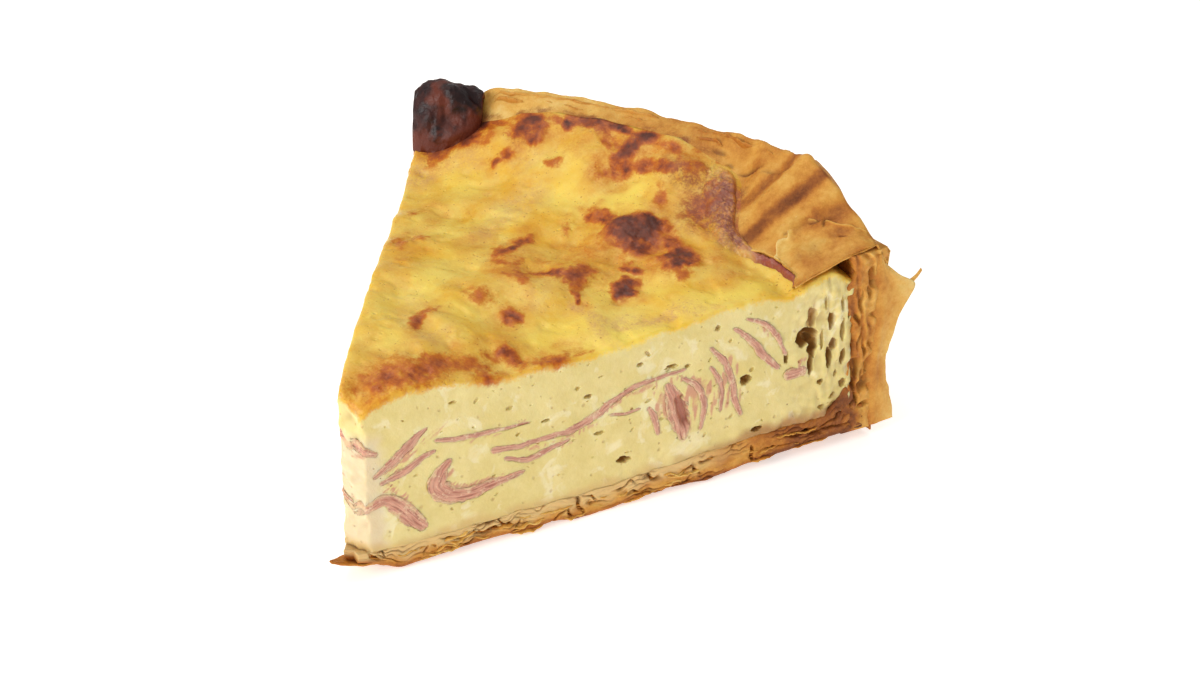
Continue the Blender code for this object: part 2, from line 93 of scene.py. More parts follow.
class Slot(Enum):
    """Material slots of the record."""

    CRUST = "crust"
    FILLING = "filling"
    HAM = "ham"
    SCORCHED = "scorched"


def smooth_curve(points: Points, position: Real) -> Array:
    """Read a smooth curve through (position, value) points.

    Args:
        points: Knots of the curve, in rising order of position.
        position: Where to read it; beyond its ends the end values hold.

    Returns:
        The values, shaped like position.
    """
    knots = np.array(points, float)
    xs, ys = knots[:, 0], knots[:, 1]
    last = len(xs) - 1
    where = np.clip(np.asarray(position, float), xs[0], xs[-1])
    i = np.clip(np.searchsorted(xs, where, side="right") - 1, 0, last - 1)
    slopes = np.array([(ys[min(k + 1, last)] - ys[max(k - 1, 0)]) / (xs[min(k + 1, last)] - xs[max(k - 1, 0)])
                       for k in range(last + 1)])
    span = xs[i + 1] - xs[i]
    u = (where - xs[i]) / span
    return (ys[i] * (1 + 2 * u) * (1 - u) ** 2 + slopes[i] * span * u * (1 - u) ** 2
            + ys[i + 1] * u * u * (3 - 2 * u) - slopes[i + 1] * span * u * u * (1 - u))


def ease(low: float, high: float, value: Real) -> Array:
    """Go smoothly from 0 at low to 1 at high."""
    u = np.clip((np.asarray(value, float) - low) / (high - low), 0, 1)
    return u * u * (3 - 2 * u)


def wander(x: Real, y: Real, size: float, seed: float) -> Array:
    """Return smooth seeded noise between about -1 and 1.

    Args:
        x: First coordinate.
        y: Second coordinate.
        size: Size of the bumps, in the coordinates' unit.
        seed: Which noise this is.

    Returns:
        Noise values, shaped like x and y broadcast together.
    """
    x, y = np.broadcast_arrays(np.asarray(x, float), np.asarray(y, float))
    first = (x / size + 7.3 * seed).ravel().tolist()
    second = (y / size - 3.1 * seed).ravel().tolist()
    level = 1.7 * seed
    return np.array([noise.noise((a, b, level)) for a, b in zip(first, second)]).reshape(x.shape)


def waves(x: Real, y: Real, *parts: Triple) -> Array:
    """Sum smooth noises.

    Args:
        x: First coordinate.
        y: Second coordinate.
        parts: Height, size of the bumps and seed of each noise.

    Returns:
        The sum, shaped like x and y broadcast together.
    """
    return sum(height * wander(x, y, size, seed) for height, size, seed in parts)


@dataclass(frozen=True)
class SliceLayout:
    """Form that the pieces share, with the driving dimensions of the slice in millimetres."""

    tin_radius: float = 118.5
    slice_angle: float = math.radians(58.2)
    nose_cut: float = 5.0
    base_nose_cut: float = 3.2
    wall_inner_radius: float = 113.2
    wall_flare: float = 1.5
    fold_depth: float = 1.5
    ridge_radius: float = 117.2
    gap: float = 0.3
    bump_height: float = 1.5
    middle_sweep: float = 0.46
    flap_thickness: float = 1.1
    front_top: Points = ((0, 35), (6, 37), (12, 39.3), (20, 39.5), (28, 38.4), (36, 37.0), (48, 36.9),
                         (60, 37.0), (68, 37.6), (76, 39), (86, 40), (93, 39.4), (98, 38.5), (103, 40),
                         (108, 40.8), (112, 38.6), (115, 38))
    middle_top: Points = ((0, 36), (10, 39), (22, 41), (40, 40), (60, 40.6), (75, 40), (88, 41.6),
                          (98, 44.6), (106, 48.4), (115, 51.8))
    far_top: Points = ((0, 36.5), (6, 40), (16, 41.8), (34, 42), (50, 41.6), (64, 40.6), (80, 39.4),
                       (95, 38.9), (105, 40.2), (115, 43))
    rim_hold: float = 3.5
    rim_line: Points = ((0, 45.2), (0.1, 49.4), (0.19, 55.2), (0.24, 53.8), (0.4, 53), (0.5, 52.4),
                        (0.86, 52), (0.9, 49.6), (0.93, 47.8), (1.0, 45.4))
    flap_line: Points = ((0, 98.8), (0.03, 100.8), (0.1, 100.9), (0.18, 100), (0.22, 101.4), (0.26, 105.6),
                         (0.31, 111.2), (0.36, 111.9), (1.0, 111.9))
    tear_depth: float = 0.7
    base_line: Points = ((0, 6.2), (10, 5.4), (30, 5.2), (58, 5.5), (72, 6.4), (92, 7.4), (113, 8))
    underside_line: Points = ((0, 4.4), (5, 3.4), (9, 1.6), (13, 0), (96, 0), (106, 0.9), (119, 2.4))
    front_lift: Points = ((76, 0), (90, 1.2), (100, 2.0), (119, 2.6))
    foot_wave: Points = ((11, 0.1), (17, 0.5), (27, 1.0), (35, 1.0), (40, 0.5), (45, 0.9), (50, 0), (57, 0.1),
                         (63, 0.7), (75, 0.8), (80, 0), (88, 0.3), (96, 0))

    def angle(self, sweep: Real) -> Array:
        """Return the polar angle of a sweep."""
        return (np.asarray(sweep, float) - 0.5) * self.slice_angle

    def along(self, sweep: Real) -> Array:
        """Return the length along the tin's edge at a sweep."""
        return self.angle(sweep) * self.tin_radius

    def place(self, radius: Array, height: Array, sweep: Array) -> Array:
        """Turn wedge coordinates into points, one row each.

        Args:
            radius: Radius of each spot.
            height: Height of each spot.
            sweep: Sweep of each spot.

        Returns:
            The points in millimetres from the virtual tip, with x, y and z last.
        """
        radius, height, sweep = np.broadcast_arrays(radius, height, sweep)
        angle = self.angle(sweep)
        return np.stack([radius * np.cos(angle), radius * np.sin(angle), height], -1)

    def plan(self, radius: Array, sweep: Real) -> tuple[Array, Array]:
        """Return the plan coordinates x and y of a spot."""
        spot = self.place(radius, 0, sweep)
        return spot[..., 0], spot[..., 1]

    def nose(self, cut: float, sweep: Real) -> Array:
        """Return the radius where the blunt nose at distance cut meets a sweep."""
        return cut / np.cos(self.angle(sweep))

    def outward(self, side: Side) -> Array:
        """Return the direction that a cut face looks in.

        Args:
            side: Which cut face.

        Returns:
            A level unit vector.
        """
        angle = float(self.angle(side.value))
        turn = -1 if side is Side.FRONT else 1
        return np.array([-math.sin(angle) * turn, math.cos(angle) * turn, 0.0])

    def top(self, radius: Array, sweep: Array) -> Array:
        """Return the height of the filling's surface.

        Args:
            radius: Radius of each spot.
            sweep: Sweep of each spot.

        Returns:
            The heights.
        """
        radius, sweep = np.broadcast_arrays(np.asarray(radius, float), np.asarray(sweep, float))
        front = smooth_curve(self.front_top, radius)
        middle = smooth_curve(self.middle_top, radius)
        far = smooth_curve(self.far_top, radius)
        hold = 1 + self.rim_hold * ease(88, 108, radius)
        height = np.where(sweep < self.middle_sweep,
                          front + (middle - front) * ease(0, self.middle_sweep, sweep),
                          middle + (far - middle) * ease(self.middle_sweep, 1, sweep) ** hold)
        x, y = self.plan(radius, sweep)
        bumps = wander(x, y, 12, 1) + 0.5 * wander(x, y, 6, 2)
        inside = 0.35 + 0.65 * np.sin(math.pi * np.clip(sweep, 0, 1))
        return height + bumps * self.bump_height * inside

    def base_top(self, radius: Array, sweep: Array) -> Array:
        """Return the height of the pastry base's upper side."""
        return smooth_curve(self.base_line, radius) + 0.45 * wander(*self.plan(radius, sweep), 6, 3)

    def underside(self, radius: Array, sweep: Array) -> Array:
        """Return the height of the pastry base's underside."""
        lift = smooth_curve(self.front_lift, radius) * ease(0.14, 0, sweep)
        return np.maximum(np.maximum(smooth_curve(self.underside_line, radius), lift), 0)

    def foot(self, radius: Array, sweep: Array) -> Array:
        """Return the height of the underside with the waves that it has near the cuts.

        Args:
            radius: Radius of each spot.
            sweep: Sweep of each spot.

        Returns:
            The heights.
        """
        near = radius * np.sin(np.clip(sweep, 0, 1) * self.slice_angle)
        far = radius * np.sin(np.clip(1 - np.asarray(sweep), 0, 1) * self.slice_angle)
        wave = smooth_curve(self.foot_wave, radius) * np.exp(-near / 6)
        wave = wave + smooth_curve(self.foot_wave, radius + 7) * np.exp(-far / 6)
        return self.underside(radius, sweep) + wave

    def wall_inner(self, height: Array, sweep: Array) -> Array:
        """Return the radius of the pastry wall's inner side."""
        return self.wall_inner_radius + 0.45 * wander(self.along(sweep), height, 9, 4)

    def wall_outer(self, height: Array, sweep: Array) -> Array:
        """Return the radius of the pastry wall's outer side, with its upright folds.

        Args:
            height: Height of each spot.
            sweep: Sweep of each spot.

        Returns:
            The radii.
        """
        along = self.along(sweep)
        height = np.asarray(height, float)
        folds = wander(along, 0.25 * height, 6.2, 5) + 0.5 * wander(along, height, 11, 6)
        return self.tin_radius + self.wall_flare * height / 45 + self.fold_depth * folds

    def rim(self, sweep: Array) -> Array:
        """Return the height of the rim's ridge."""
        tear = self.tear_depth * wander(self.along(sweep), 0, 5, 8)
        return smooth_curve(self.rim_line, sweep) + tear * ease(1, 0.86, sweep)

    def flap_edge(self, sweep: Array) -> Array:
        """Return the radius where the folded-in pastry ends on top of the filling."""
        tear = self.tear_depth * wander(self.along(sweep), 0, 6, 9)
        return smooth_curve(self.flap_line, sweep) + tear * ease(0.34, 0.24, sweep)

    def fold_height(self, radius: Array, sweep: Array) -> Array:
        """Return the height of the upper side of the folded-in pastry.

        Args:
            radius: Radius of each spot.
            sweep: Sweep of each spot.

        Returns:
            The heights.
        """
        radius, sweep = np.broadcast_arrays(np.asarray(radius, float), np.asarray(sweep, float))
        edge = self.flap_edge(sweep)
        lip = self.top(edge, sweep) + self.gap + self.flap_thickness
        share = np.clip((radius - edge) / (self.ridge_radius - edge), 0, 1)
        bulge = 0.85 + 0.45 * ease(0, 0.15, sweep)
        crease = 0.5 * wander(radius, self.along(sweep), 7, 10) * np.sin(math.pi * share)
        return lip + (self.rim(sweep) - lip) * share ** bulge + crease


LAYOUT = SliceLayout()


class ParamSkin:
    """A closed skin whose corners are (u, v, s) triples, so that patches share the corners they meet at."""

    def __init__(self) -> None:
        """Start with no corners and no faces."""
        self.index: dict[tuple[int, int, int], int] = {}
        self.triples: list[Triple] = []
        self.faces: list[Face] = []

    def corner(self, triple: Triple) -> int:
        """Return the index of a corner, and make it if it is new.

        Args:
            triple: Its u, v and s.

        Returns:
            The index.
        """
        key = tuple(int(round(value * 1000000)) for value in triple)
        found = self.index.get(key)
        if found is None:
            found = len(self.triples)
            self.index[key] = found
            self.triples.append(triple)
        return found

    def weave(self, rows: Sequence[Sequence[Triple]], flip: bool = False) -> None:
        """Add the faces between rows of corners; a row may have twice the cells of its neighbour.

        Args:
            rows: Rows of corners.
            flip: Whether to turn the faces round.
        """
        for low, high in zip(rows, rows[1:]):
            a = [self.corner(triple) for triple in low]
            b = [self.corner(triple) for triple in high]
            if len(a) == len(b):
                made = [(a[j], a[j + 1], b[j + 1], b[j]) for j in range(len(a) - 1)]
            elif len(b) > len(a):
                made = []
                for j in range(len(a) - 1):
                    made.append((a[j], b[2 * j + 1], b[2 * j]))
                    made.append((a[j], a[j + 1], b[2 * j + 1]))
                    made.append((a[j + 1], b[2 * j + 2], b[2 * j + 1]))
            else:
                made = []
                for j in range(len(b) - 1):
                    made.append((b[j], a[2 * j], a[2 * j + 1]))
                    made.append((b[j], a[2 * j + 1], b[j + 1]))
                    made.append((b[j + 1], a[2 * j + 1], a[2 * j + 2]))
            if flip:
                made = [tuple(reversed(face)) for face in made]
            self.faces.extend(face for face in made if len(set(face)) > 2)

    def arrays(self) -> tuple[Array, Array, Array]:
        """Return the corners' u, v and s values."""
        triples = np.array(self.triples)
        return triples[:, 0], triples[:, 1], triples[:, 2]


def box_skin(us: Sequence[float], vs: Sequence[float], ss: Sequence[float]) -> ParamSkin:
    """Make the skin of a block that is gridded in all three directions.

    Args:
        us: Grid values of u, from 0 to 1.
        vs: Grid values of v, from 0 to 1.
        ss: Grid values of s, from 0 to 1.

    Returns:
        The skin of its six sides.
    """
    skin = ParamSkin()
    for v in (vs[0], vs[-1]):
        skin.weave([[(u, v, s) for s in ss] for u in us], flip=v == vs[0])
    for s in (ss[0], ss[-1]):
        skin.weave([[(u, v, s) for v in vs] for u in us], flip=s == ss[-1])
    for u in (us[0], us[-1]):
        skin.weave([[(u, v, s) for s in ss] for v in vs], flip=u == us[-1])
    return skin


def add_object(name: str, points: Array, faces: Sequence[Face]) -> Piece:
    """Make a mesh object in the row frame from points in the slice's frame.

    Args:
        name: Name of the object.
        points: Corners in millimetres from the slice's virtual tip.
        faces: Corner indices of each face.

    Returns:
        The object, linked to the scene and shaded smooth, with its faces pointing out.
    """
    placed = (np.asarray(points) + np.array(TIP_IN_ROW)) * METRES_PER_MILLIMETRE
    mesh = bpy.data.meshes.new(name)
    mesh.from_pydata(placed.tolist(), [], [tuple(face) for face in faces])
    mesh.validate()
    turn_outwards(mesh)
    mesh.shade_smooth()
    made = bpy.data.objects.new(name, mesh)
    bpy.context.scene.collection.objects.link(made)
    return made


def turn_outwards(mesh: bpy.types.Mesh) -> None:
    """Point the faces of closed shells outwards.

    Args:
        mesh: The mesh.
    """
    bm = bmesh.new()
    bm.from_mesh(mesh)
    bmesh.ops.recalc_face_normals(bm, faces=bm.faces)
    bm.to_mesh(mesh)
    bm.free()


def slice_points(mesh: bpy.types.Mesh) -> Array:
    """Return a mesh's vertices in millimetres from the slice's virtual tip.

    Args:
        mesh: The mesh.

    Returns:
        One row for each vertex.
    """
    flat = np.zeros(len(mesh.vertices) * 3, np.float32)
    mesh.vertices.foreach_get("co", flat)
    return flat.reshape(-1, 3) / METRES_PER_MILLIMETRE - np.array(TIP_IN_ROW)


def set_attribute(mesh: bpy.types.Mesh, name: str, values: Array) -> None:
    """Store one number for each vertex under a name that materials read."""
    attribute = mesh.attributes.get(name) or mesh.attributes.new(name, "FLOAT", "POINT")
    attribute.data.foreach_set("value", np.asarray(values, np.float32))


def carve(target: Piece, cutters: Sequence[Piece]) -> None:
    """Cut closed shapes out of an object, one mesh at a time, and remove them.

    Args:
        target: The object that is cut.
        cutters: The closed shapes.
    """
    for cutter in cutters:
        modifier = target.modifiers.new("carve", "BOOLEAN")
        modifier.operation = "DIFFERENCE"
        modifier.solver = "MANIFOLD"
        modifier.object = cutter
    depsgraph = bpy.context.evaluated_depsgraph_get()
    mesh = bpy.data.meshes.new_from_object(target.evaluated_get(depsgraph))
    for modifier in list(target.modifiers):
        target.modifiers.remove(modifier)
    target.data = mesh
    for cutter in cutters:
        bpy.data.objects.remove(cutter)


def dress(piece: Piece, finish: Material, slot: Slot,
          *nodes: str) -> Piece:
    """Give a piece its finish, hang it under the root body and hide the CAD nodes that it replaces.

    Args:
        piece: The finished mesh object.
        finish: Its material.
        slot: The record's material slot; not used.
        nodes: CAD nodes that it replaces.

    Returns:
        The piece.
    """
    piece.data.materials.clear()
    piece.data.materials.append(finish)
    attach(piece, "root")
    if nodes:
        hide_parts(*nodes)
    LOG.info("%s: %d faces", piece.name, len(piece.data.polygons))
    return piece


class Shell:
    """Points and faces of closed sheets and lofts that together become one piece."""

    def __init__(self) -> None:
        """Start empty."""
        self.points: list[Array] = []
        self.faces: list[Face] = []
        self.marks: dict[str, list[Array]] = {}
        self.count = 0

    def add(self, points: Array, faces: Iterable[Face], marks: Marks) -> None:
        """Add corners with their marks, and faces that index them.

        Args:
            points: The corners.
            faces: Corner indices of each face.
            marks: Attribute values, one number or one for each corner.
        """
        self.faces.extend(tuple(self.count + i for i in face) for face in faces)
        self.points.append(points)
        for name, values in marks.items():
            self.marks.setdefault(name, []).append(np.broadcast_to(values, len(points)))
        self.count += len(points)

    def add_sheet(self, grid: Array, thickness: Real, **marks: Real) -> None:
        """Add a thin closed sheet.

        Args:
            grid: Middle points, as rows by columns by three.
            thickness: Its thickness, one number or one for each grid point.
            marks: Attribute values, one number or one for each grid point.
        """
        rows, columns = grid.shape[:2]
        normal = np.cross(np.gradient(grid, axis=0), np.gradient(grid, axis=1))
        normal /= np.maximum(np.linalg.norm(normal, axis=2, keepdims=True), 1e-9)
        half = 0.5 * np.broadcast_to(thickness, (rows, columns))[..., None]
        points = np.concatenate([(grid + side * normal * half).reshape(-1, 3) for side in (1, -1)])
        size = rows * columns
        faces = []
        for i in range(rows - 1):
            for j in range(columns - 1):
                a, b = i * columns + j, (i + 1) * columns + j
                faces.append((a, b, b + 1, a + 1))
                faces.append((a + size, a + 1 + size, b + 1 + size, b + size))
        rim = ([j for j in range(columns)] + [i * columns + columns - 1 for i in range(1, rows)]
               + [(rows - 1) * columns + j for j in range(columns - 2, -1, -1)]
               + [i * columns for i in range(rows - 2, 0, -1)])
        faces += [(a, b, b + size, a + size) for a, b in zip(rim, rim[1:] + rim[:1])]
        doubled = {name: np.tile(np.broadcast_to(values, (rows, columns)).ravel(), 2)
                   for name, values in marks.items()}
        self.add(points, faces, doubled)

    def add_loft(self, rings: Array, **marks: Real) -> None:
        """Add a closed loft through rings of points, capped at both ends.

        Args:
            rings: Points, as rings by points by three.
            marks: Attribute values, one number or one for each point of each ring.
        """
        rows, columns = rings.shape[:2]
        faces = [(i * columns + j, i * columns + (j + 1) % columns,
                  (i + 1) * columns + (j + 1) % columns, (i + 1) * columns + j)
                 for i in range(rows - 1) for j in range(columns)]
        faces.append(tuple(range(columns)))
        faces.append(tuple((rows - 1) * columns + j for j in range(columns)))
        flat = {name: np.broadcast_to(values, (rows, columns)).ravel() for name, values in marks.items()}
        self.add(rings.reshape(-1, 3), faces, flat)

    def add_slab(self, grid: Array, back: Array, **marks: Real) -> None:
        """Add a closed block whose front is a grid and whose back is spanned between two lines.

        Args:
            grid: Front points, as rows by columns by three.
            back: Points behind the first and behind the last row, as two by columns by three.
            marks: Attribute values, one number or one for each front point.
        """
        rows, columns = grid.shape[:2]
        size = rows * columns
        last = size - columns
        faces = [(i * columns + j, i * columns + j + 1, (i + 1) * columns + j + 1, (i + 1) * columns + j)
                 for i in range(rows - 1) for j in range(columns - 1)]
        for j in range(columns - 1):
            low, high = size + j, size + columns + j
            faces.append((j, low, low + 1, j + 1))
            faces.append((last + j, last + j + 1, high + 1, high))
            faces.append((low, high, high + 1, low + 1))
        faces.append((*(i * columns for i in range(rows)), size + columns, size))
        faces.append((*(i * columns + columns - 1 for i in reversed(range(rows))), size + columns - 1,
                      size + 2 * columns - 1))
        flat = {}
        for name, values in marks.items():
            whole = np.broadcast_to(values, (rows, columns))
            flat[name] = np.concatenate([whole.ravel(), whole[0], whole[-1]])
        self.add(np.concatenate([grid.reshape(-1, 3), back.reshape(-1, 3)]), faces, flat)

    def make(self, name: str) -> Piece:
        """Make the object, with its marks as attributes.

        Args:
            name: Name of the object.

        Returns:
            The object.
        """
        made = add_object(name, np.concatenate(self.points), self.faces)
        for mark, values in self.marks.items():
            set_attribute(made.data, mark, np.concatenate(values))
        return made


def connect(tree: Tree, socket: Socket, value: object) -> None:
    """Link a socket to another one, or set its constant.

    Args:
        tree: The tree that both belong to.
        socket: The input.
        value: A socket or a constant.
    """
    if isinstance(value, Socket):
        tree.links.new(value, socket)
    else:
        socket.default_value = value


def add_node(tree: Tree, kind: str, inputs: dict[str | int, object] | None = None,
             **properties: object) -> Node:
    """Add a node to a tree.

    Args:
        tree: The tree.
        kind: Type of the node.
        inputs: Sockets or constants for its inputs, by name or number.
        properties: Values of its properties.

    Returns:
        The node.
    """
    made = tree.nodes.new(kind)
    for name, value in properties.items():
        setattr(made, name, value)
    for key, value in (inputs or {}).items():
        connect(tree, made.inputs[key], value)
    return made


def evaluate_tree(base: Piece, tree: Tree, **inputs: object) -> Piece:
    """Run a Geometry Nodes tree on an object and keep the result as a plain mesh.

    Args:
        base: Object whose mesh goes in and whose mesh the result becomes.
        tree: The tree.
        inputs: Values of the tree's inputs, by name with underscores for spaces.

    Returns:
        The same object.
    """
    modifier = base.modifiers.new("grow", "NODES")
    modifier.node_group = tree
    for item in tree.interface.items_tree:
        key = item.name.replace(" ", "_").lower()
        if item.item_type == "SOCKET" and item.in_out == "INPUT" and key in inputs:
            modifier[item.identifier] = inputs[key]
    base.update_tag()
    depsgraph = bpy.context.evaluated_depsgraph_get()
    mesh = bpy.data.meshes.new_from_object(base.evaluated_get(depsgraph))
    base.modifiers.remove(modifier)
    base.data = mesh
    return base


def pore_tree() -> Tree:
    """Build the tree that scatters little flattened bubbles over a surface.

    Returns:
        The tree, with its sizes in metres.
    """
    tree = bpy.data.node_groups.new("pore_field", "GeometryNodeTree")
    kinds = {"Geometry": "Geometry", "Spacing": "Float", "Density": "Float", "Smallest": "Float",
             "Largest": "Float", "Turn": "Float", "Seed": "Int", "Finish": "Material"}
    for name, kind in kinds.items():
        tree.interface.new_socket(name, in_out="INPUT", socket_type="NodeSocket" + kind)
    tree.interface.new_socket("Geometry", in_out="OUTPUT", socket_type="NodeSocketGeometry")
    given = add_node(tree, "NodeGroupInput").outputs
    points = add_node(tree, "GeometryNodeDistributePointsOnFaces",
                      {"Mesh": given["Geometry"], "Distance Min": given["Spacing"],
                       "Density Max": given["Density"], "Seed": given["Seed"]}, distribute_method="POISSON")
    chance = add_node(tree, "FunctionNodeRandomValue", {"Seed": given["Seed"]}, data_type="FLOAT")
    skew = add_node(tree, "ShaderNodeMath", {0: chance.outputs[1], 1: PORE_SKEW}, operation="POWER")
    size = add_node(tree, "ShaderNodeMapRange",
                    {"Value": skew.outputs[0], "To Min": given["Smallest"], "To Max": given["Largest"]})
    shape = add_node(tree, "FunctionNodeRandomValue", dict(enumerate(PORE_SHAPES)), data_type="FLOAT_VECTOR")
    scale = add_node(tree, "ShaderNodeVectorMath", {0: shape.outputs[0], "Scale": size.outputs["Result"]},
                     operation="SCALE")
    tilt = add_node(tree, "FunctionNodeRandomValue", {2: -PORE_TILT, 3: PORE_TILT}, data_type="FLOAT")
    turn = add_node(tree, "ShaderNodeCombineXYZ", {"Y": tilt.outputs[1], "Z": given["Turn"]})
    ball = add_node(tree, "GeometryNodeMeshIcoSphere", {"Radius": 1.0, "Subdivisions": 2})
    bubbles = add_node(tree, "GeometryNodeInstanceOnPoints",
                       {"Points": points.outputs["Points"], "Instance": ball.outputs["Mesh"],
                        "Rotation": turn.outputs[0], "Scale": scale.outputs[0]})
    whole = add_node(tree, "GeometryNodeRealizeInstances", {0: bubbles.outputs[0]})
    painted = add_node(tree, "GeometryNodeSetMaterial",
                       {"Geometry": whole.outputs[0], "Material": given["Finish"]})
    add_node(tree, "NodeGroupOutput", {0: painted.outputs[0]})
    return tree


# Patches seen from above: centre x and y, half length, half width, turn in degrees and strength of each.
GOLD_PATCHES = (
    (13, -1, 10, 6, -10, 0.9), (26, -9, 8, 4.4, -35, 0.8), (6, 2, 5, 4, 0, 0.7), (32, 4, 7.5, 2.6, 15, 0.6),
    (38, -15, 7, 4.6, 70, 0.7), (47, -7, 4.4, 3.2, 0, 0.55), (49, 1, 5, 4, 30, 0.5),
    (60, 2, 6, 5.4, 50, 0.9), (68, -3, 9, 8, 0, 0.8), (77, -6, 8, 8, 0, 0.95), (70, 8, 11, 4, 8, 0.8),
    (82, -20, 8, 8, 20, 0.95), (60, -12, 3.4, 5, 0, 0.5), (58, 27, 8, 4.4, 30, 0.65),
    (50, 22, 6, 3, 30, 0.4), (75, 33, 10, 3, 28, 0.55), (86, 26, 7, 4, 0, 0.4), (66, 16, 9, 3, 20, 0.5),
    (95, 32, 4.6, 3.4, 0, 0.6), (102, 38, 7, 6, 0, 0.8), (104, 28, 6.6, 6, 0, 0.8), (97, 48, 5, 5, 0, 0.8),
    (105, 15, 5, 9, 0, 0.7), (101, 5, 7, 5.6, 0, 0.9), (98, -12, 7, 5, 0, 0.75), (88, -30, 5, 7, 20, 0.7),
    (84, -34, 5, 4, 0, 0.6), (99, -22, 8, 8, 0, 0.9), (109, 0, 5, 22, 0, 0.8), (91, 24, 6, 5, 0, 0.35),
    (45, 20, 8, 3, 26, 0.35), (18, 6, 8, 2.4, 26, 0.3), (72, -13, 9, 6, 0, 0.7), (86, 40, 7, 3, 20, 0.4),
)
TOAST_PATCHES = (
    (13, -2, 8, 4.4, -15, 0.6), (18, -6, 5, 3.6, -25, 0.62), (24.5, -7, 6.4, 3.4, -30, 0.54),
    (28.5, -11, 2.4, 4, 20, 0.52), (28, -16, 4.2, 2.4, -60, 0.64), (33, 5, 6.2, 1.7, 18, 0.52),
    (37, 6.2, 2.2, 1.2, 0, 0.56), (36, -12, 4, 2.2, 0, 0.64), (36.5, -16, 2.4, 3.8, 0, 0.62),
    (41, -21, 5.2, 2.2, -14, 0.66), (46, -24, 2, 1, -20, 0.45), (47, -7, 2.5, 2.1, 0, 0.72),
    (48.5, 2.5, 3, 2.4, 40, 0.5), (49, -1.4, 1.4, 2.4, 0, 0.4), (58.5, 0, 2.6, 5, -20, 0.56),
    (63, 3, 4.6, 1.8, 35, 0.56), (64, -5, 4.6, 2.6, -60, 0.7), (66.5, -9.5, 4, 2.9, 0, 0.76),
    (61, -13, 3.4, 1.3, 40, 0.7), (59, -15, 1, 0.9, 0, 0.85), (70, 8.5, 8, 1.6, 6, 0.66),
    (66, 9.6, 4.6, 1.4, 40, 0.52), (62, 6.4, 3.4, 1.8, 50, 0.5), (83, 5, 4.6, 1.4, 30, 0.48),
    (88, -2, 2.9, 5.6, -10, 0.86), (85.5, -10, 4.6, 6.8, -20, 1.0), (89, -12, 2.8, 4.6, 0, 0.97),
    (82.5, -14, 3.6, 3, 0, 0.72), (83.5, -22, 4.6, 3.8, -30, 0.95), (82, -24.4, 4, 2.3, -20, 0.92),
    (87, -19, 1.8, 4.4, 0, 0.7), (78, -27, 2.6, 1.8, 30, 0.5), (69, -19, 3.3, 2.2, 0, 0.98),
    (68.5, -21.2, 1.8, 1.5, 0, 0.95), (71, -18, 1.6, 1.6, 0, 0.9), (75, -17, 1.4, 2.7, 10, 0.76),
    (76.6, -15.4, 1.0, 1.4, 0, 0.62), (58, 28, 5, 2.6, 30, 0.46), (62, 26, 1.4, 3.4, 0, 0.42),
    (52, 23, 3.4, 1.8, 30, 0.34), (71, 35, 3.4, 1.8, 0, 0.36), (77.4, 26.6, 1.2, 1.2, 0, 0.4),
    (95.4, 31, 1.8, 1.4, -40, 0.74), (97.3, 29.4, 1.2, 2.2, 0, 0.74), (98, 17.6, 1.7, 2.2, 0, 0.52),
    (104.6, 28.6, 3.8, 3.9, -30, 0.92), (102, 25.4, 2.4, 1.9, 0, 0.84), (106.6, 32, 2.4, 2.4, 0, 0.72),
    (101, 36.4, 3.6, 1.9, 0, 0.56), (99.4, 41.6, 3, 3.4, -30, 0.9), (95.6, 46.6, 3.4, 3.9, 0, 0.92),
    (103, 42, 3.6, 4.6, 0, 0.95), (97, 52, 3.6, 2.6, 20, 1.0), (105, 37, 1.9, 4.6, 0, 0.6),
    (110, 17, 1.9, 5.6, -10, 0.88), (108.4, 20.6, 2, 1.7, 0, 0.84), (107, 10, 1.3, 4.6, -10, 0.6),
    (110.6, 9, 1.4, 4.6, 0, 0.82), (107, 4.4, 3.9, 2.9, 0, 1.0), (103.6, 5, 2.5, 2.4, 0, 0.66),
    (110, 3, 2.4, 3.4, 0, 0.92), (99.4, 6, 1.7, 1.9, 0, 0.55), (101.4, 3, 2.9, 2.3, 0, 0.76),
    (104, -2, 2.2, 3.6, 0, 0.66), (97, -9, 3.6, 2.3, 30, 0.5), (104.4, -7, 1.6, 5.6, -12, 0.62),
    (109, -5, 1.6, 5, -10, 0.56), (106, -12, 3, 4, 0, 0.5), (112, -12, 1.4, 5, 0, 0.5),
    (100, -19, 6, 5, 0, 0.62), (103, -22, 4, 4.4, 0, 0.6), (109, 31, 1.4, 4, 10, 0.5),
    (107.6, 24, 2, 2, 0, 0.5), (92, 44, 2, 3, 0, 0.32), (97, -27, 4, 3, 40, 0.55),
)
MAUVE_PATCHES = (
    (100, -19, 6.4, 5, 0, 0.95), (104, -12, 2.6, 7, -10, 0.8), (103.4, -22, 4, 4.6, 0, 0.9),
    (97, -23.4, 3.6, 4, 0, 0.75), (107, -16, 2.4, 5, 0, 0.6), (94.6, -28.6, 2.6, 3.4, 20, 0.7),
    (85.5, -11, 4, 6, -20, 0.6), (83, -23, 4, 3, -20, 0.6), (69, -19.4, 3, 2, 0, 0.7),
    (104, 28, 3.4, 3.4, 0, 0.6), (109.6, 17, 1.8, 5, -10, 0.6), (107.6, 4, 3.4, 2.6, 0, 0.7),
    (96, 47, 3.4, 3.6, 0, 0.7), (100, 42, 3, 4, -20, 0.7), (65.4, -8.6, 3.4, 2.6, -20, 0.45),
)
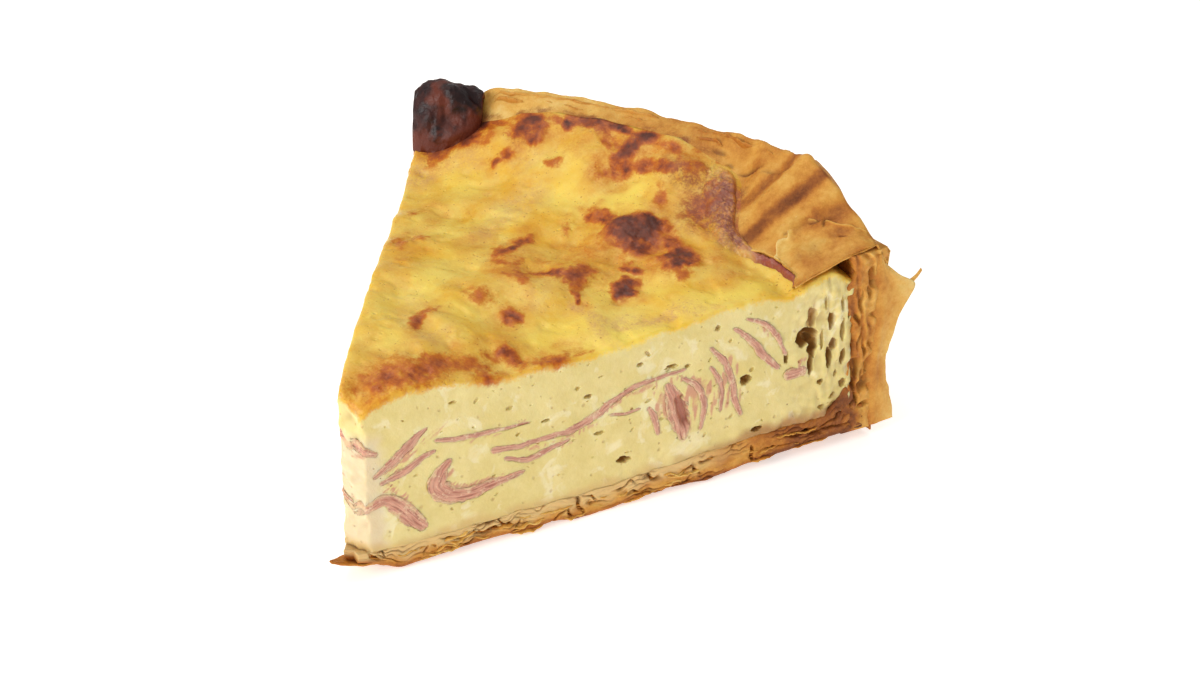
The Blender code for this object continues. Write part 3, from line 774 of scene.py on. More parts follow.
VEIL_PATCHES = (
    (56, -20, 1.8, 7, -28, 0.7), (60, -27, 5.4, 2, -50, 0.75), (65, -31, 6, 2, -25, 0.85),
    (69.5, -33.6, 2.6, 4.6, -10, 0.6), (71.4, -37, 1.2, 3.4, -10, 0.5), (86, 46, 5.4, 4, 25, 0.7),
    (86, 18, 7, 4.4, 0, 0.5), (76, 18, 8, 2.6, 10, 0.45), (30, -1, 5, 3, 0, 0.4), (36, 10, 8, 2.2, 25, 0.3),
    (94, 40, 4, 6, 0, 0.4), (92, -14, 2.6, 6, -20, 0.4), (98, 24, 5, 3, 0, 0.35), (54, -8, 3, 6, 0, 0.3),
)
BRIGHT_PATCHES = (
    (95, -2, 5.6, 4.8, 10, 1.0), (92, 1.4, 4.4, 2.8, 10, 0.9), (100, 0, 3.6, 2.4, 0, 0.7),
    (70, -1.6, 4.6, 4.2, 0, 0.85), (66, -16, 5.6, 3.6, 0, 0.9), (87, 5, 4, 2.8, 20, 0.6),
    (93, 10, 8, 4, 20, 0.5), (102, 14, 4, 5.4, 0, 0.6), (78, 36, 9, 3, 28, 0.5), (45, 12, 10, 3, 28, 0.6),
    (22, 4, 8, 1.8, 28, 0.6), (5, 1, 4, 2.2, 0, 0.5), (47, -17, 8, 5, -30, 0.7), (55, -28, 10, 4, -30, 0.9),
    (73, -35, 7, 4, -25, 0.8), (80, -39, 8, 3.4, -30, 0.9), (74, -24, 5, 3.6, 0, 0.8),
    (60, 14, 7, 2.6, 15, 0.5), (34, 14, 7, 2, 28, 0.5), (42, 3, 4, 4, 0, 0.4), (92, -36, 3, 5, 30, 0.5),
    (68, 30, 6, 2.4, 20, 0.4), (99, 36, 3, 2, 0, 0.4), (90, 34, 5, 4, 20, 0.45),
)


def blotch(x: Array, y: Array, patches: Sequence[Sequence[float]], seed: float,
           warp: float = 1.7, soft: float = 0.4) -> Array:
    """Return how strongly soft-edged irregular patches cover a spot.

    Args:
        x: Plan coordinate along the middle of the slice, in millimetres.
        y: Plan coordinate across it.
        patches: Centre x and y, half length, half width, turn in degrees and strength of each.
        seed: Which noise bends their outlines.
        warp: How far the noise bends them.
        soft: Half of the edge's width as a share of a patch's size.

    Returns:
        The strongest patch's value at each spot.
    """
    bent_x = x + warp * wander(x, y, 5, seed) + 0.45 * warp * wander(x, y, 1.7, seed + 1)
    bent_y = y + warp * wander(x, y, 5, seed + 2) + 0.45 * warp * wander(x, y, 1.7, seed + 3)
    total = np.zeros(np.shape(x))
    for centre_x, centre_y, length, width, turn, strength in patches:
        cosine, sine = math.cos(math.radians(turn)), math.sin(math.radians(turn))
        off_x, off_y = bent_x - centre_x, bent_y - centre_y
        reach = np.hypot((off_x * cosine + off_y * sine) / length, (off_y * cosine - off_x * sine) / width)
        total = np.maximum(total, strength * ease(1.0 + soft, 1.0 - soft, reach))
    return total


class TopSkin:
    """The browned surface of the filling: its relief and its colour marks."""

    def __init__(self, layout: SliceLayout) -> None:
        """Keep the layout that the surface follows."""
        self.layout = layout

    @staticmethod
    def toast(x: Array, y: Array) -> Array:
        """Return how browned each spot seen from above is."""
        return blotch(x, y, TOAST_PATCHES, 31, 1.7, 0.8)

    @staticmethod
    def mauve(x: Array, y: Array) -> Array:
        """Return how strongly scorched ham tints each spot seen from above."""
        return blotch(x, y, MAUVE_PATCHES, 36, 1.4, 0.6)

    def marks(self, x: Array, y: Array) -> Marks:
        """Return the colour marks of spots in plan.

        Args:
            x: Plan coordinate along the middle of the slice.
            y: Plan coordinate across it.

        Returns:
            The values of each mark, from 0 to 1.
        """
        toast = self.toast(x, y) ** 1.2 * (1 + waves(x, y, (0.45, 2.4, 32), (0.4, 1.0, 33)))
        wide = [(*patch[:2], 1.3 * patch[2] + 1.2, 1.3 * patch[3] + 1.2, *patch[4:])
                for patch in TOAST_PATCHES]
        halo = blotch(x, y, wide, 37, 3.0, 0.7) * (0.8 + 0.7 * wander(x, y, 2.0, 38))
        gold = np.maximum(blotch(x, y, GOLD_PATCHES, 51, 3.0, 0.8), np.clip(halo, 0, 1))
        gold = np.clip(gold * (1 + 0.5 * wander(x, y, 3.0, 39)), 0, 1)
        return {"toast": toast, "mauve": self.mauve(x, y),
                "bright": blotch(x, y, BRIGHT_PATCHES, 46, 2.2, 0.7), "gold": gold,
                "veil": blotch(x, y, VEIL_PATCHES, 56, 2.0, 0.7)}

    def relief(self, radius: Array, sweep: Array) -> Array:
        """Return how far the surface stands above the plain form.

        Args:
            radius: Radius of each spot.
            sweep: Sweep of each spot.

        Returns:
            The heights, which may be below 0.
        """
        x, y = self.layout.plan(radius, sweep)
        swell = waves(x, y, (0.75, 9, 41), (0.3, 4.4, 42))
        fine = waves(x, y, (0.06, 1.5, 43), (0.04, 0.8, 44))
        dips = -0.3 * ease(0.22, 0.5, wander(x, y, 3.0, 45))
        toast = blotch(x, y, TOAST_PATCHES, 31)
        crags = toast * (0.3 + waves(x, y, (0.35, 1.2, 47), (0.2, 0.7, 48)))
        edge = self.layout.flap_edge(sweep)
        calm = ease(edge - 0.5, edge - 4, radius)
        calm = calm * (1 - ease(0.85, 0.88, sweep) * ease(99, 103, radius))
        return (swell + fine + dips + crags) * calm


@dataclass
class HamStrip:
    """One strip of ham that runs through the filling from the front cut to the far cut."""

    name: str
    knots: Sequence[Triple]
    seed: int
    layout: SliceLayout = LAYOUT
    cell: float = 0.42
    proud: float = 0.04
    pocket: float = 0.0
    radial_drift: float = 5.0
    height_drift: float = 2.2
    drift_floor: float = 6.0
    drift_room: float = 31.0
    face_width: float = 0.36
    depths: tuple[float, ...] = (0, 0.25, 0.8, 2.0, 4.5)
    path: Array = field(init=False)

    def __post_init__(self) -> None:
        """Lay the strip's middle line at even steps."""
        steps = np.linspace(0, len(self.knots) - 1, 240)
        lines = [smooth_curve([(i, knot[axis]) for i, knot in enumerate(self.knots)], steps)
                 for axis in range(3)]
        run = np.concatenate([[0], np.cumsum(np.hypot(np.diff(lines[0]), np.diff(lines[1])))])
        start, end = 0.5 * lines[2][0], 0.5 * lines[2][-1]
        reach = np.linspace(-start, run[-1] + end, max(int((run[-1] + start + end) / self.cell), 8) + 1)
        inside = np.clip(reach, 0, run[-1])
        radius, height, thick = (np.interp(inside, run, line) for line in lines)
        ahead = np.interp(inside + 0.2, run, lines[0]) - np.interp(inside - 0.2, run, lines[0])
        rise = np.interp(inside + 0.2, run, lines[1]) - np.interp(inside - 0.2, run, lines[1])
        length = np.maximum(np.hypot(ahead, rise), 1e-6)
        ahead, rise = ahead / length, rise / length
        over = reach - inside
        past = np.clip(np.abs(over) / np.where(over < 0, start, end), 0, 1)
        radius, height = radius + ahead * over, height + rise * over
        cap = np.sqrt(np.clip(1 - past ** 2, 0.06, 1))
        self.path = np.stack([reach, radius, height, 0.5 * thick * cap, ahead, rise], 1)

    def block(self, across: Sequence[float], sweeps: Sequence[float], extra: float) -> tuple[Array, ...]:
        """Return the strip's shape on a grid.

        Args:
            across: Grid values across its thickness, from -1 to 1.
            sweeps: Grid values of the sweep.
            extra: How much thicker than the strip it is all round.

        Returns:
            Skin points, faces, run along the strip, run across it, sweep, and place across from -1 to 1.
        """
        skin = box_skin(range(len(self.path)), across, sweeps)
        u, v, s = skin.arrays()
        row = self.path[u.astype(int)]
        reach, radius, height, half, ahead, rise = row.T
        share = np.clip(s, 0, 1)
        swing = np.sin(2 * np.pi * radius / self.layout.wall_inner_radius)
        lift = np.sin(2 * np.pi * radius / (0.52 * self.layout.wall_inner_radius) + 0.9) * share
        roll = np.sin(2 * np.pi * share * 1.2) * 0.5
        room = np.sin(np.pi * np.clip((height - self.drift_floor) / self.drift_room, 0, 1))
        swell = 1 + 0.2 * wander(radius, share * 60, 14, self.seed) * ease(0, 0.2, share)
        rag = waves(reach, np.sign(v) * 9 + share * 30,
                    (0.26, 1.5, self.seed + 0.3), (0.2, 0.7, self.seed + 0.6))
        side = v * (half * swell * (1 + rag) + extra)
        bend = 0.22 * wander(reach, share * 30, 3, self.seed + 0.8)
        ends = np.where(u == 0, -extra, np.where(u == len(self.path) - 1, extra, 0))
        radius = radius + self.radial_drift * share * swing + ahead * ends - rise * (side + bend)
        height = height + self.height_drift * room * (lift + roll) + rise * ends + ahead * (side + bend)
        points = self.layout.place(radius, height, s)
        return points, skin.faces, reach, side, s, v

    def slot(self) -> Piece:
        """Make the cutter of the room that the strip takes in the filling.

        Returns:
            The closed shape.
        """
        sweeps = [-0.05, *np.linspace(0, 1, 9), 1.05]
        points, faces, *_ = self.block((-1, 1), sweeps, -0.03)
        return add_object("slot_" + self.name, points, faces)

    def build(self, finish: Material) -> Piece:
        """Make the strip with ragged cut ends.

        Args:
            finish: The material.

        Returns:
            The dressed piece.
        """
        middle = float(self.path[:, 1].mean())
        width = float(self.path[:, 3].max())
        across = np.linspace(-1, 1, max(int(2 * width / self.face_width), 3) + 1)
        near = [depth / (middle * self.layout.slice_angle) for depth in self.depths]
        near = [value for value in near if value < 0.3]
        sweeps = [*near, 0.4, 0.5, 0.6, *(1 - value for value in reversed(near))]
        points, faces, reach, side, s, v = self.block(across, sweeps, 0)
        crumple = (0.12 * wander(reach * 0.4, side * 1.6, 1.1, self.seed + 0.2)
                   + 0.05 * wander(reach, side, 0.6, self.seed + 0.4)) * (1 - 0.8 * v ** 4)
        leaf = 0.12 * np.sin(side * 2 * math.pi / 1.15 + 1.5 * wander(reach, side, 4, self.seed))
        leaf = leaf * ease(0.7, 1.6, width)
        sunk = self.pocket * ease(1.6, 0.7, np.abs(side - 1.1)) * ease(0.2, 0.34, reach / reach.max())
        sunk = sunk * ease(0.82, 0.68, reach / reach.max())
        for cut in Side:
            on_cut = s == cut.value
            push = self.proud + crumple + leaf - sunk
            points[on_cut] += self.layout.outward(cut) * push[on_cut, None]
        floor = self.layout.nose_cut - 0.12 + 0.12 * wander(points[:, 2], points[:, 1], 1.1, self.seed)
        points[:, 0] = np.maximum(points[:, 0], floor)
        made = add_object(self.name + "_meat", points, faces)
        set_attribute(made.data, "along", reach)
        set_attribute(made.data, "across", side)
        # sunk marks the pocket, which the ham finish paints darker as shade.
        set_attribute(made.data, "sunk", sunk * np.isin(s, (0, 1)))
        tail = np.minimum(reach - reach.min(), reach.max() - reach)
        set_attribute(made.data, "slack", np.maximum(np.abs(v), 1 - tail / 1.6))
        return dress(made, finish, Slot.HAM, self.name)


# Middle line of each strip at the front cut: radius, height and thickness of each knot.
HAM_KNOTS = {
    "ham_nose": ((1, 29.2, 1.6), (5, 28.6, 2.0), (8, 27.4, 1.2)),
    "ham_feather_upper": ((7.6, 22.4, 0.9), (11.4, 24.8, 2.1), (15, 27.6, 2.2), (18.4, 30.2, 0.9)),
    "ham_feather_lower": ((9, 20.6, 0.9), (12.8, 21.6, 1.6), (16.6, 23.6, 1.5), (20, 24.6, 0.8)),
    "ham_thin_ribbon": ((20.4, 26.9, 0.9), (25, 26.1, 1.3), (32, 25.7, 1.0), (40, 25.6, 0.6)),
    "ham_bar": ((1, 14.4, 1.2), (5.4, 15.4, 1.5), (9.2, 16.8, 2.4), (11.8, 15, 3.6), (14.4, 11.7, 3.8),
                (16.8, 9, 2.8)),
    "ham_hook": ((22.9, 21.6, 1.4), (21.2, 19.6, 3.0), (20.3, 16.6, 4.2), (22.8, 14, 3.8),
                 (27, 13.1, 3.0), (32, 13.9, 2.2), (38.4, 14.8, 1.0)),
    "ham_long_ribbon": ((32.4, 21.3, 1.5), (37, 20.9, 1.3), (43, 21, 1.3), (49, 21.2, 1.7),
                        (54, 22.9, 1.9), (58, 25.2, 1.6), (63, 27, 1.3), (68, 27.8, 0.9),
                        (74, 28, 0.7)),
    "ham_lower_branch": ((34.8, 18.8, 0.9), (39, 17.3, 1.3), (44, 18.2, 1.3), (48.4, 19.2, 0.8)),
    "ham_thin_branch": ((57.6, 22.2, 0.7), (60.8, 21.7, 0.9), (64, 21.8, 0.6)),
    "ham_fold_left": ((66.2, 21.2, 1.2), (67.5, 18.4, 1.6), (68.2, 15, 1.0)),
    "ham_fold": ((70.4, 25.1, 1.9), (71.8, 21.4, 4.2), (73, 17.4, 5.0), (74, 13.2, 2.6)),
    "ham_fold_outer": ((73.8, 26, 0.9), (76.8, 23.6, 1.4), (78.4, 20, 1.5), (78.5, 16.6, 1.4),
                       (77.8, 13.4, 0.9)),
    "ham_cross_long": ((79.8, 31.2, 0.8), (82.8, 27.6, 1.5), (85, 22.4, 1.7), (85.6, 18.2, 1.5),
                       (87.2, 14.2, 0.9)),
    "ham_cross_short": ((79.9, 26.9, 0.8), (81.8, 23.6, 1.2), (82.6, 20.2, 1.1), (82.4, 16.4, 0.8)),
    "ham_slant_inner": ((85.2, 34.2, 0.8), (88.8, 31, 1.5), (91.8, 26.8, 1.8), (95.4, 22.8, 1.3)),
    "ham_slant_outer": ((88, 35.7, 0.7), (91.8, 33.8, 1.2), (94.8, 30.4, 1.3), (97.2, 25.4, 0.8)),
    "ham_dice": ((98.2, 20.2, 2.4), (101.2, 20.4, 2.4)),
}
# How deep a pocket opens between the leaves of a strip.
HAM_POCKETS = {"ham_fold": 1.1}
# Large bubbles at the cuts: radius, height, half width, half height and depth of each.
HOLES = {
    Side.FRONT: (
        (103.2, 31.9, 1.3, 2.9, 1.7), (101.8, 27.9, 2.7, 2.2, 7.0), (103.6, 25.2, 1.3, 2.4, 5.0),
        (103.2, 21.4, 0.8, 2.9, 2.6), (107.6, 21.6, 0.9, 2.6, 3.6), (108.5, 24.6, 0.9, 1.7, 2.0),
        (107.9, 30.2, 0.9, 1.9, 2.0), (110.6, 27.6, 0.6, 2.6, 1.5), (111.0, 21.2, 0.8, 2.0, 2.2),
        (105.8, 16.6, 0.8, 0.7, 1.6), (105.6, 26.6, 0.5, 2.4, 1.0), (110.2, 33.6, 0.5, 1.9, 1.0),
        (106.4, 34.8, 0.45, 1.7, 0.9), (111.2, 15.0, 0.8, 1.2, 1.8), (108.8, 12.6, 1.0, 0.7, 1.4),
        (106.2, 10.6, 0.9, 0.5, 1.0), (111.8, 31.0, 0.4, 1.1, 1.2), (109.4, 17.6, 0.5, 1.0, 1.2),
        (88, 21.9, 1.4, 1.2, 3.0), (60.6, 11, 1.7, 0.9, 2.6), (91, 9.6, 1.4, 0.7, 2.0),
        (97.4, 24.4, 0.6, 1.5, 2.2), (24, 34.2, 0.9, 0.35, 0.8), (64, 31.8, 0.8, 0.5, 1.0),
        (81.4, 35.4, 0.8, 0.7, 1.0), (52.6, 27.8, 1.0, 0.5, 1.0), (43.4, 24.9, 1.0, 0.4, 1.0),
        (55, 18.8, 1.2, 0.45, 0.9), (71, 29.4, 1.5, 0.6, 1.2), (74.6, 28.6, 0.6, 0.5, 1.0),
    ),
    Side.FAR: (
        (96, 29, 2.4, 2.0, 5.0), (98.6, 26.4, 1.6, 2.2, 4.0), (103.2, 22, 1.4, 3.2, 5.0),
        (78, 30.5, 1.4, 1.1, 2.6), (47, 12, 1.7, 1.0, 2.4), (106.8, 30, 1.1, 2.0, 3.0),
        (109.6, 26, 0.6, 2.4, 1.5), (107.4, 15, 1.0, 0.8, 1.8), (111.0, 19, 0.7, 1.9, 2.0),
        (88, 14, 1.2, 0.8, 1.6), (30, 31, 1.0, 0.5, 1.0), (62, 17, 1.3, 0.6, 1.2),
    ),
}
# Smears of ham on the cuts: radius and height, half length, half width, turn in degrees and strength.
MEAT_STREAKS = (
    (13, 24.5, 5, 0.5, 40, 0.7), (16, 26.2, 4, 0.4, 38, 0.6), (11, 21, 3.5, 0.4, 50, 0.6),
    (18, 27.2, 5, 0.35, 30, 0.5), (14.6, 22.4, 4, 0.4, 32, 0.6), (50, 20.4, 6, 0.35, 8, 0.5),
    (58, 24.4, 5, 0.35, 24, 0.55), (40, 19.8, 4, 0.3, -6, 0.45), (66, 26.3, 5, 0.3, 10, 0.45),
    (75.2, 21.5, 0.4, 4.6, -8, 0.8), (74.6, 18, 0.35, 3.4, 5, 0.7), (76.2, 20.5, 0.35, 4, -4, 0.7),
    (69.6, 20, 0.4, 3.6, 10, 0.7), (77.2, 24.2, 2.2, 0.45, -50, 0.6), (80.4, 18.6, 0.35, 3, 0, 0.5),
    (71, 25.6, 2, 0.5, 50, 0.6), (83.8, 25.5, 0.4, 3.4, -20, 0.7), (84.2, 19.6, 0.35, 3.6, -6, 0.6),
    (81.0, 24.6, 0.35, 3, -24, 0.6), (86.6, 17.4, 0.35, 2.4, -14, 0.5), (90.4, 29.4, 3.2, 0.4, -52, 0.6),
    (93.4, 31.4, 2.6, 0.35, -50, 0.55), (87, 31.8, 2, 0.35, -40, 0.4), (24.8, 15.6, 3.4, 0.5, -20, 0.6),
    (29.5, 15, 4, 0.45, 8, 0.6), (22.6, 18.8, 1.2, 0.5, 60, 0.6), (12.6, 16.6, 3.4, 0.45, -48, 0.7),
    (14.8, 13.4, 2.8, 0.4, -55, 0.6), (6, 16.6, 2.6, 0.45, 10, 0.5), (4, 27.6, 2.4, 0.35, -10, 0.6),
    (30, 25.1, 5, 0.3, 0, 0.45), (36, 26.4, 4, 0.28, -2, 0.4), (45, 18.3, 4, 0.3, 6, 0.4),
    (100, 21.8, 2.2, 0.4, 30, 0.6), (76.8, 18.8, 0.4, 4.4, -12, 0.9), (75.4, 14.6, 0.5, 2.6, -30, 0.8),
    (79.8, 21.6, 0.4, 3.6, -16, 0.8), (75.6, 25.4, 3.0, 0.4, -24, 0.8), (69.0, 24.0, 0.4, 2.4, 20, 0.8),
    (67.6, 21.8, 0.4, 2.8, 12, 0.8), (82.4, 22.4, 0.4, 4.2, -14, 0.8), (85.2, 22.4, 0.4, 3.8, -14, 0.8),
)


def even_sweeps(count: int) -> list[float]:
    """Return the sweeps between a number of even cells."""
    return [k / count for k in range(count + 1)]


@dataclass
class Custard:
    """The set filling, with its browned skin, its bubbles and the room for the ham."""

    layout: SliceLayout = LAYOUT
    columns: int = 228
    rows: int = 76
    outer_radius: float = 112.7
    lip: float = 0.4
    pore_spacing: float = 2.0
    pore_density: float = 0.05
    pore_sizes: tuple[float, float] = (0.2, 0.62)
    pore_field: Points = ((8, 9), (110, 11), (110, 38), (60, 35.5), (8, 35))
    skin: TopSkin = field(default_factory=lambda: TopSkin(LAYOUT))

    @staticmethod
    def cells(radius: float) -> int:
        """Return how many cells a row has across the slice, so that they stay about equally wide."""
        return next((count for limit, count in CELLS_ACROSS if radius >= limit), NOSE_CELLS)

    def body_skin(self) -> ParamSkin:
        """Weave the closed skin of the filling.

        Returns:
            The skin, with u along the slice, v up and s across.
        """
        skin = ParamSkin()
        us = [i / self.columns for i in range(self.columns + 1)]
        vs = [j / self.rows for j in range(self.rows + 1)]
        nose = self.layout.nose_cut
        span = self.outer_radius - nose
        coarse = even_sweeps(NOSE_CELLS)
        skin.weave([[(u, 1.0, s) for s in even_sweeps(self.cells(nose + u * span))] for u in us])
        skin.weave([[(u, 0.0, s) for s in coarse] for u in us])
        for s in (0.0, 1.0):
            skin.weave([[(u, v, s) for u in us] for v in vs])
        skin.weave([[(0.0, v, s) for s in coarse] for v in vs])
        counts = [NOSE_CELLS] * (len(vs) - len(CELLS_ACROSS)) + [count for _, count in reversed(CELLS_ACROSS)]
        skin.weave([[(1.0, v, s) for s in even_sweeps(count)] for v, count in zip(vs, counts)])
        return skin

    def body_points(self, skin: ParamSkin) -> Array:
        """Place the corners of the skin, with the roughness of each of its sides.

        Args:
            skin: The woven skin.

        Returns:
            One point for each corner.
        """
        u, v, s = skin.arrays()
        layout = self.layout
        nose = layout.nose(layout.nose_cut, s)
        reach = nose + u * (self.outer_radius - nose)
        top = layout.top(reach, s) + self.skin.relief(reach, s)
        low = layout.base_top(reach, s) + self.lip
        height = low + v * (top - low)
        hug = ease(0.97, 1, u) * (layout.wall_inner(height, s) - 0.5 - self.outer_radius)
        radius = reach + hug
        points = layout.place(radius, height, s)
        under = top - height
        soft = waves(radius, height, (0.22, 9, 61), (0.11, 3, 62))
        grain = 0.05 * wander(radius, height, 0.9, 63)
        coarse = ease(92, 104, radius) + 0.5 * ease(14, 9, height) * ease(40, 70, radius)
        craggy = coarse * (waves(radius, height, (0.42, 3.2, 64), (0.3, 1.5, 65), (0.14, 0.8, 59)) - 0.15)
        flutes = np.abs(wander(radius, 0.3 * height, 1.7, 60)) - 0.25
        craggy = craggy + 0.9 * ease(98, 108, radius) * flutes * ease(5, 12, height)
        for cut in Side:
            shift = 40 * cut.value
            streak = 0.05 * wander(radius * 0.35 + shift, height, 1.2, 66)
            push = soft + grain + craggy + streak - 0.35 * np.exp(-under / 0.5)
            points += np.where(s == cut.value, push, 0)[:, None] * layout.outward(cut)
        face = 0.9 * wander(points[:, 1] + 5, height, 4, 67) + 0.5 * wander(points[:, 1], height, 1.7, 68)
        points[:, 0] += np.where(u == 0, face + 0.3 * np.exp(-under / 0.6), 0)
        for depth in (radius * np.sin(np.clip(s, 0, 0.5) * layout.slice_angle),
                      radius * np.sin(np.clip(1 - s, 0, 0.5) * layout.slice_angle), radius - nose):
            points[:, 2] -= np.where(v == 1, 0.28 * np.exp(-depth / 0.5), 0)
        return points

    def hole(self, cut: Side, radius: float, height: float, half_width: float, half_height: float,
             depth: float) -> Piece:
        """Make the cutter of one bubble that a cut opens.

        Args:
            cut: Which cut face.
            radius: Radius of its middle.
            height: Height of its middle.
            half_width: Half of its width along the cut.
            half_height: Half of its height.
            depth: How deep it goes.

        Returns:
            The closed shape.
        """
        bm = bmesh.new()
        bmesh.ops.create_icosphere(bm, subdivisions=4 if half_width > 1 else 3, radius=1)
        along = np.array([math.cos(self.layout.angle(cut.value)), math.sin(self.layout.angle(cut.value)), 0])
        for vert in bm.verts:
            bump = 1 + 0.3 * noise.noise(vert.co * 1.7 + Vector((radius, height, 0))) \
                + 0.12 * noise.noise(vert.co * 4 + Vector((height, radius, 0)))
            spot = (along * (radius + vert.co.x * half_width * bump)
                    - self.layout.outward(cut) * (vert.co.y * depth * bump)
                    + np.array([0, 0, height + vert.co.z * half_height * bump]))
            vert.co = Vector((spot + np.array(TIP_IN_ROW)) * METRES_PER_MILLIMETRE)
        bmesh.ops.recalc_face_normals(bm, faces=bm.faces)
        mesh = bpy.data.meshes.new("hole")
        bm.to_mesh(mesh)
        bm.free()
        made = bpy.data.objects.new("hole", mesh)
        bpy.context.scene.collection.objects.link(made)
        return made

    def pores(self, cut: Side, tree: Tree, finish: Material) -> Piece:
        """Scatter the cutters of the small bubbles over one cut face.

        Args:
            cut: Which cut face.
            tree: The tree that scatters them.
            finish: The material.

        Returns:
            The cutters as one object.
        """
        angle = float(self.layout.angle(cut.value))
        along = np.array([math.cos(angle), math.sin(angle), 0])
        corners = [along * radius + np.array([0, 0, height])
                   for radius, height in self.pore_field]
        field_of_pores = add_object("pores", np.array(corners), [(0, 1, 2, 3, 4)])
        smallest, largest = (size * METRES_PER_MILLIMETRE for size in self.pore_sizes)
        return evaluate_tree(field_of_pores, tree, spacing=self.pore_spacing * METRES_PER_MILLIMETRE,
                             density=self.pore_density / METRES_PER_MILLIMETRE ** 2, smallest=smallest,
                             largest=largest, turn=angle, seed=PORE_SEED + cut.value, finish=finish)

    def build(self, finish: Material, slots: Sequence[Piece]) -> Piece:
        """Make the filling.

        Args:
            finish: Its material.
            slots: Cutters of the room that the ham takes.

        Returns:
            The dressed piece.
        """
        skin = self.body_skin()
        body = add_object("custard", self.body_points(skin), skin.faces)
        tree = pore_tree()
        pores = [self.pores(cut, tree, finish) for cut in Side]
        holes = [self.hole(cut, *values) for cut, bubbles in HOLES.items() for values in bubbles]
        carve(body, [*slots, *holes, *pores])
        self.mark(body.data)
        body.data.shade_smooth()
        return dress(body, finish, Slot.FILLING, "filling")

    def mark(self, mesh: bpy.types.Mesh) -> None:
        """Store what the material needs to know at each vertex.

        Args:
            mesh: The mesh.
        """
        points = slice_points(mesh)
        x, y, z = points.T
        radius = np.hypot(x, y)
        sweep = np.clip(np.arctan2(y, x) / self.layout.slice_angle + 0.5, 0, 1)
        depth = self.layout.top(radius, sweep) + self.skin.relief(radius, sweep) - z
        inner = np.minimum.reduce([*(-(points @ self.layout.outward(cut)) for cut in Side),
                                   depth, x - self.layout.nose_cut])
        set_attribute(mesh, "depth", depth)
        # hollow is painted shade: it rises from 0 at the surfaces to 1 deeper than 1.6 mm in, and darkens the
        # walls of bubbles and slots.
        set_attribute(mesh, "hollow", ease(0.15, 1.6, inner))
        above = z - self.layout.base_top(radius, sweep)
        above = above - 0.7 * ease(82, 96, radius)
        set_attribute(mesh, "damp", ease(3.2, 0.2, above + 1.4 * wander(radius, z, 3.4, 69)))
        set_attribute(mesh, "outer", ease(66, 96, radius))
        thick = [(*streak[:2], streak[2] + 0.35, streak[3] + 0.35, streak[4], 1.5 * streak[5])
                 for streak in MEAT_STREAKS]
        meat = np.minimum(blotch(radius + 3.5 * (sweep > 0.5), z, thick, 58, 0.7, 0.6), 1)
        upright = ease(30, 60, radius)
        across = upright * radius + (1 - upright) * (z - 0.7 * radius)
        meat = meat * np.clip(0.5 + 1.3 * wander(2.4 * across, 0.3 * (radius + z), 1.0, 59), 0.1, 1)
        # pale: paler custard and cheese at the nose, lightened further by painted glare of the light on the
        # nose facet.
        set_attribute(mesh, "pale", ease(10.5, 8.0, radius + 1.2 * wander(y, z, 2.2, 57)) * ease(33, 29, z))
        set_attribute(mesh, "meat", meat * ease(1.6, 0.6, inner))
        for name, values in self.skin.marks(x, y).items():
            set_attribute(mesh, name, values)


# Slits between sheets at the cuts: radius and height, half length, half width, turn and strength.
BASE_SLITS = (
    (6.9, 4.3, 1.3, 0.5, -35, 1.0), (8.4, 5.5, 1.0, 0.35, -55, 0.9), (10, 3.4, 2.2, 0.22, -30, 0.6),
    (17.4, 3.0, 0.8, 0.3, 60, 0.6), (19, 3.2, 0.5, 0.2, -60, 0.6), (23.2, 4.4, 1.5, 0.5, -8, 1.0),
    (24.5, 1.9, 2.8, 0.45, 0, 0.8), (26.6, 3.7, 1.6, 0.28, 16, 0.8), (31.3, 4.75, 1.7, 0.5, 2, 1.0),
    (31.5, 3.2, 2.2, 0.5, 4, 1.0), (34.2, 3.8, 1.8, 0.25, -38, 0.8), (36.9, 2.8, 0.9, 0.4, 60, 0.7),
    (37, 5.5, 1.0, 0.16, 0, 0.4), (42, 5.3, 0.9, 0.16, -10, 0.4), (46.9, 2.4, 1.5, 0.45, 45, 0.9),
    (49.2, 2.1, 0.9, 0.4, -50, 0.9), (50.4, 3.5, 1.6, 0.4, -50, 0.9), (49, 5.5, 0.9, 0.35, -45, 0.9),
    (52.4, 4.6, 1.5, 0.3, -25, 0.8), (54, 3.2, 1.6, 0.22, -20, 0.6), (61, 4.2, 1.7, 0.45, 4, 0.8),
    (59.6, 5.7, 0.9, 0.22, 0, 0.7), (67, 5.1, 1.4, 0.5, -14, 0.9), (66.6, 2.3, 3.6, 0.38, -8, 0.8),
    (73, 2.0, 2.4, 0.35, 0, 0.7), (74.5, 4.9, 1.3, 0.5, 18, 0.9), (78.6, 6.0, 1.1, 0.5, 10, 0.9),
    (77.2, 4.0, 1.4, 0.35, -50, 0.8), (75.3, 2.7, 1.2, 0.3, 40, 0.7), (90.4, 4.2, 1.2, 0.7, -75, 1.0),
    (91, 2.8, 1.2, 0.3, -40, 0.8), (86.6, 7.3, 1.1, 0.4, 10, 0.7), (101, 6.4, 2.8, 0.45, -4, 0.8),
    (104.6, 5.2, 1.4, 0.7, -30, 0.9), (109.2, 4.8, 3.2, 0.4, -4, 0.8), (108, 6.4, 1.4, 0.4, 25, 0.7),
    (96, 4.6, 2.6, 0.25, 4, 0.5), (112.6, 8.4, 1.2, 0.5, 35, 0.8), (110.4, 7.4, 1.0, 0.4, 30, 0.8),
)
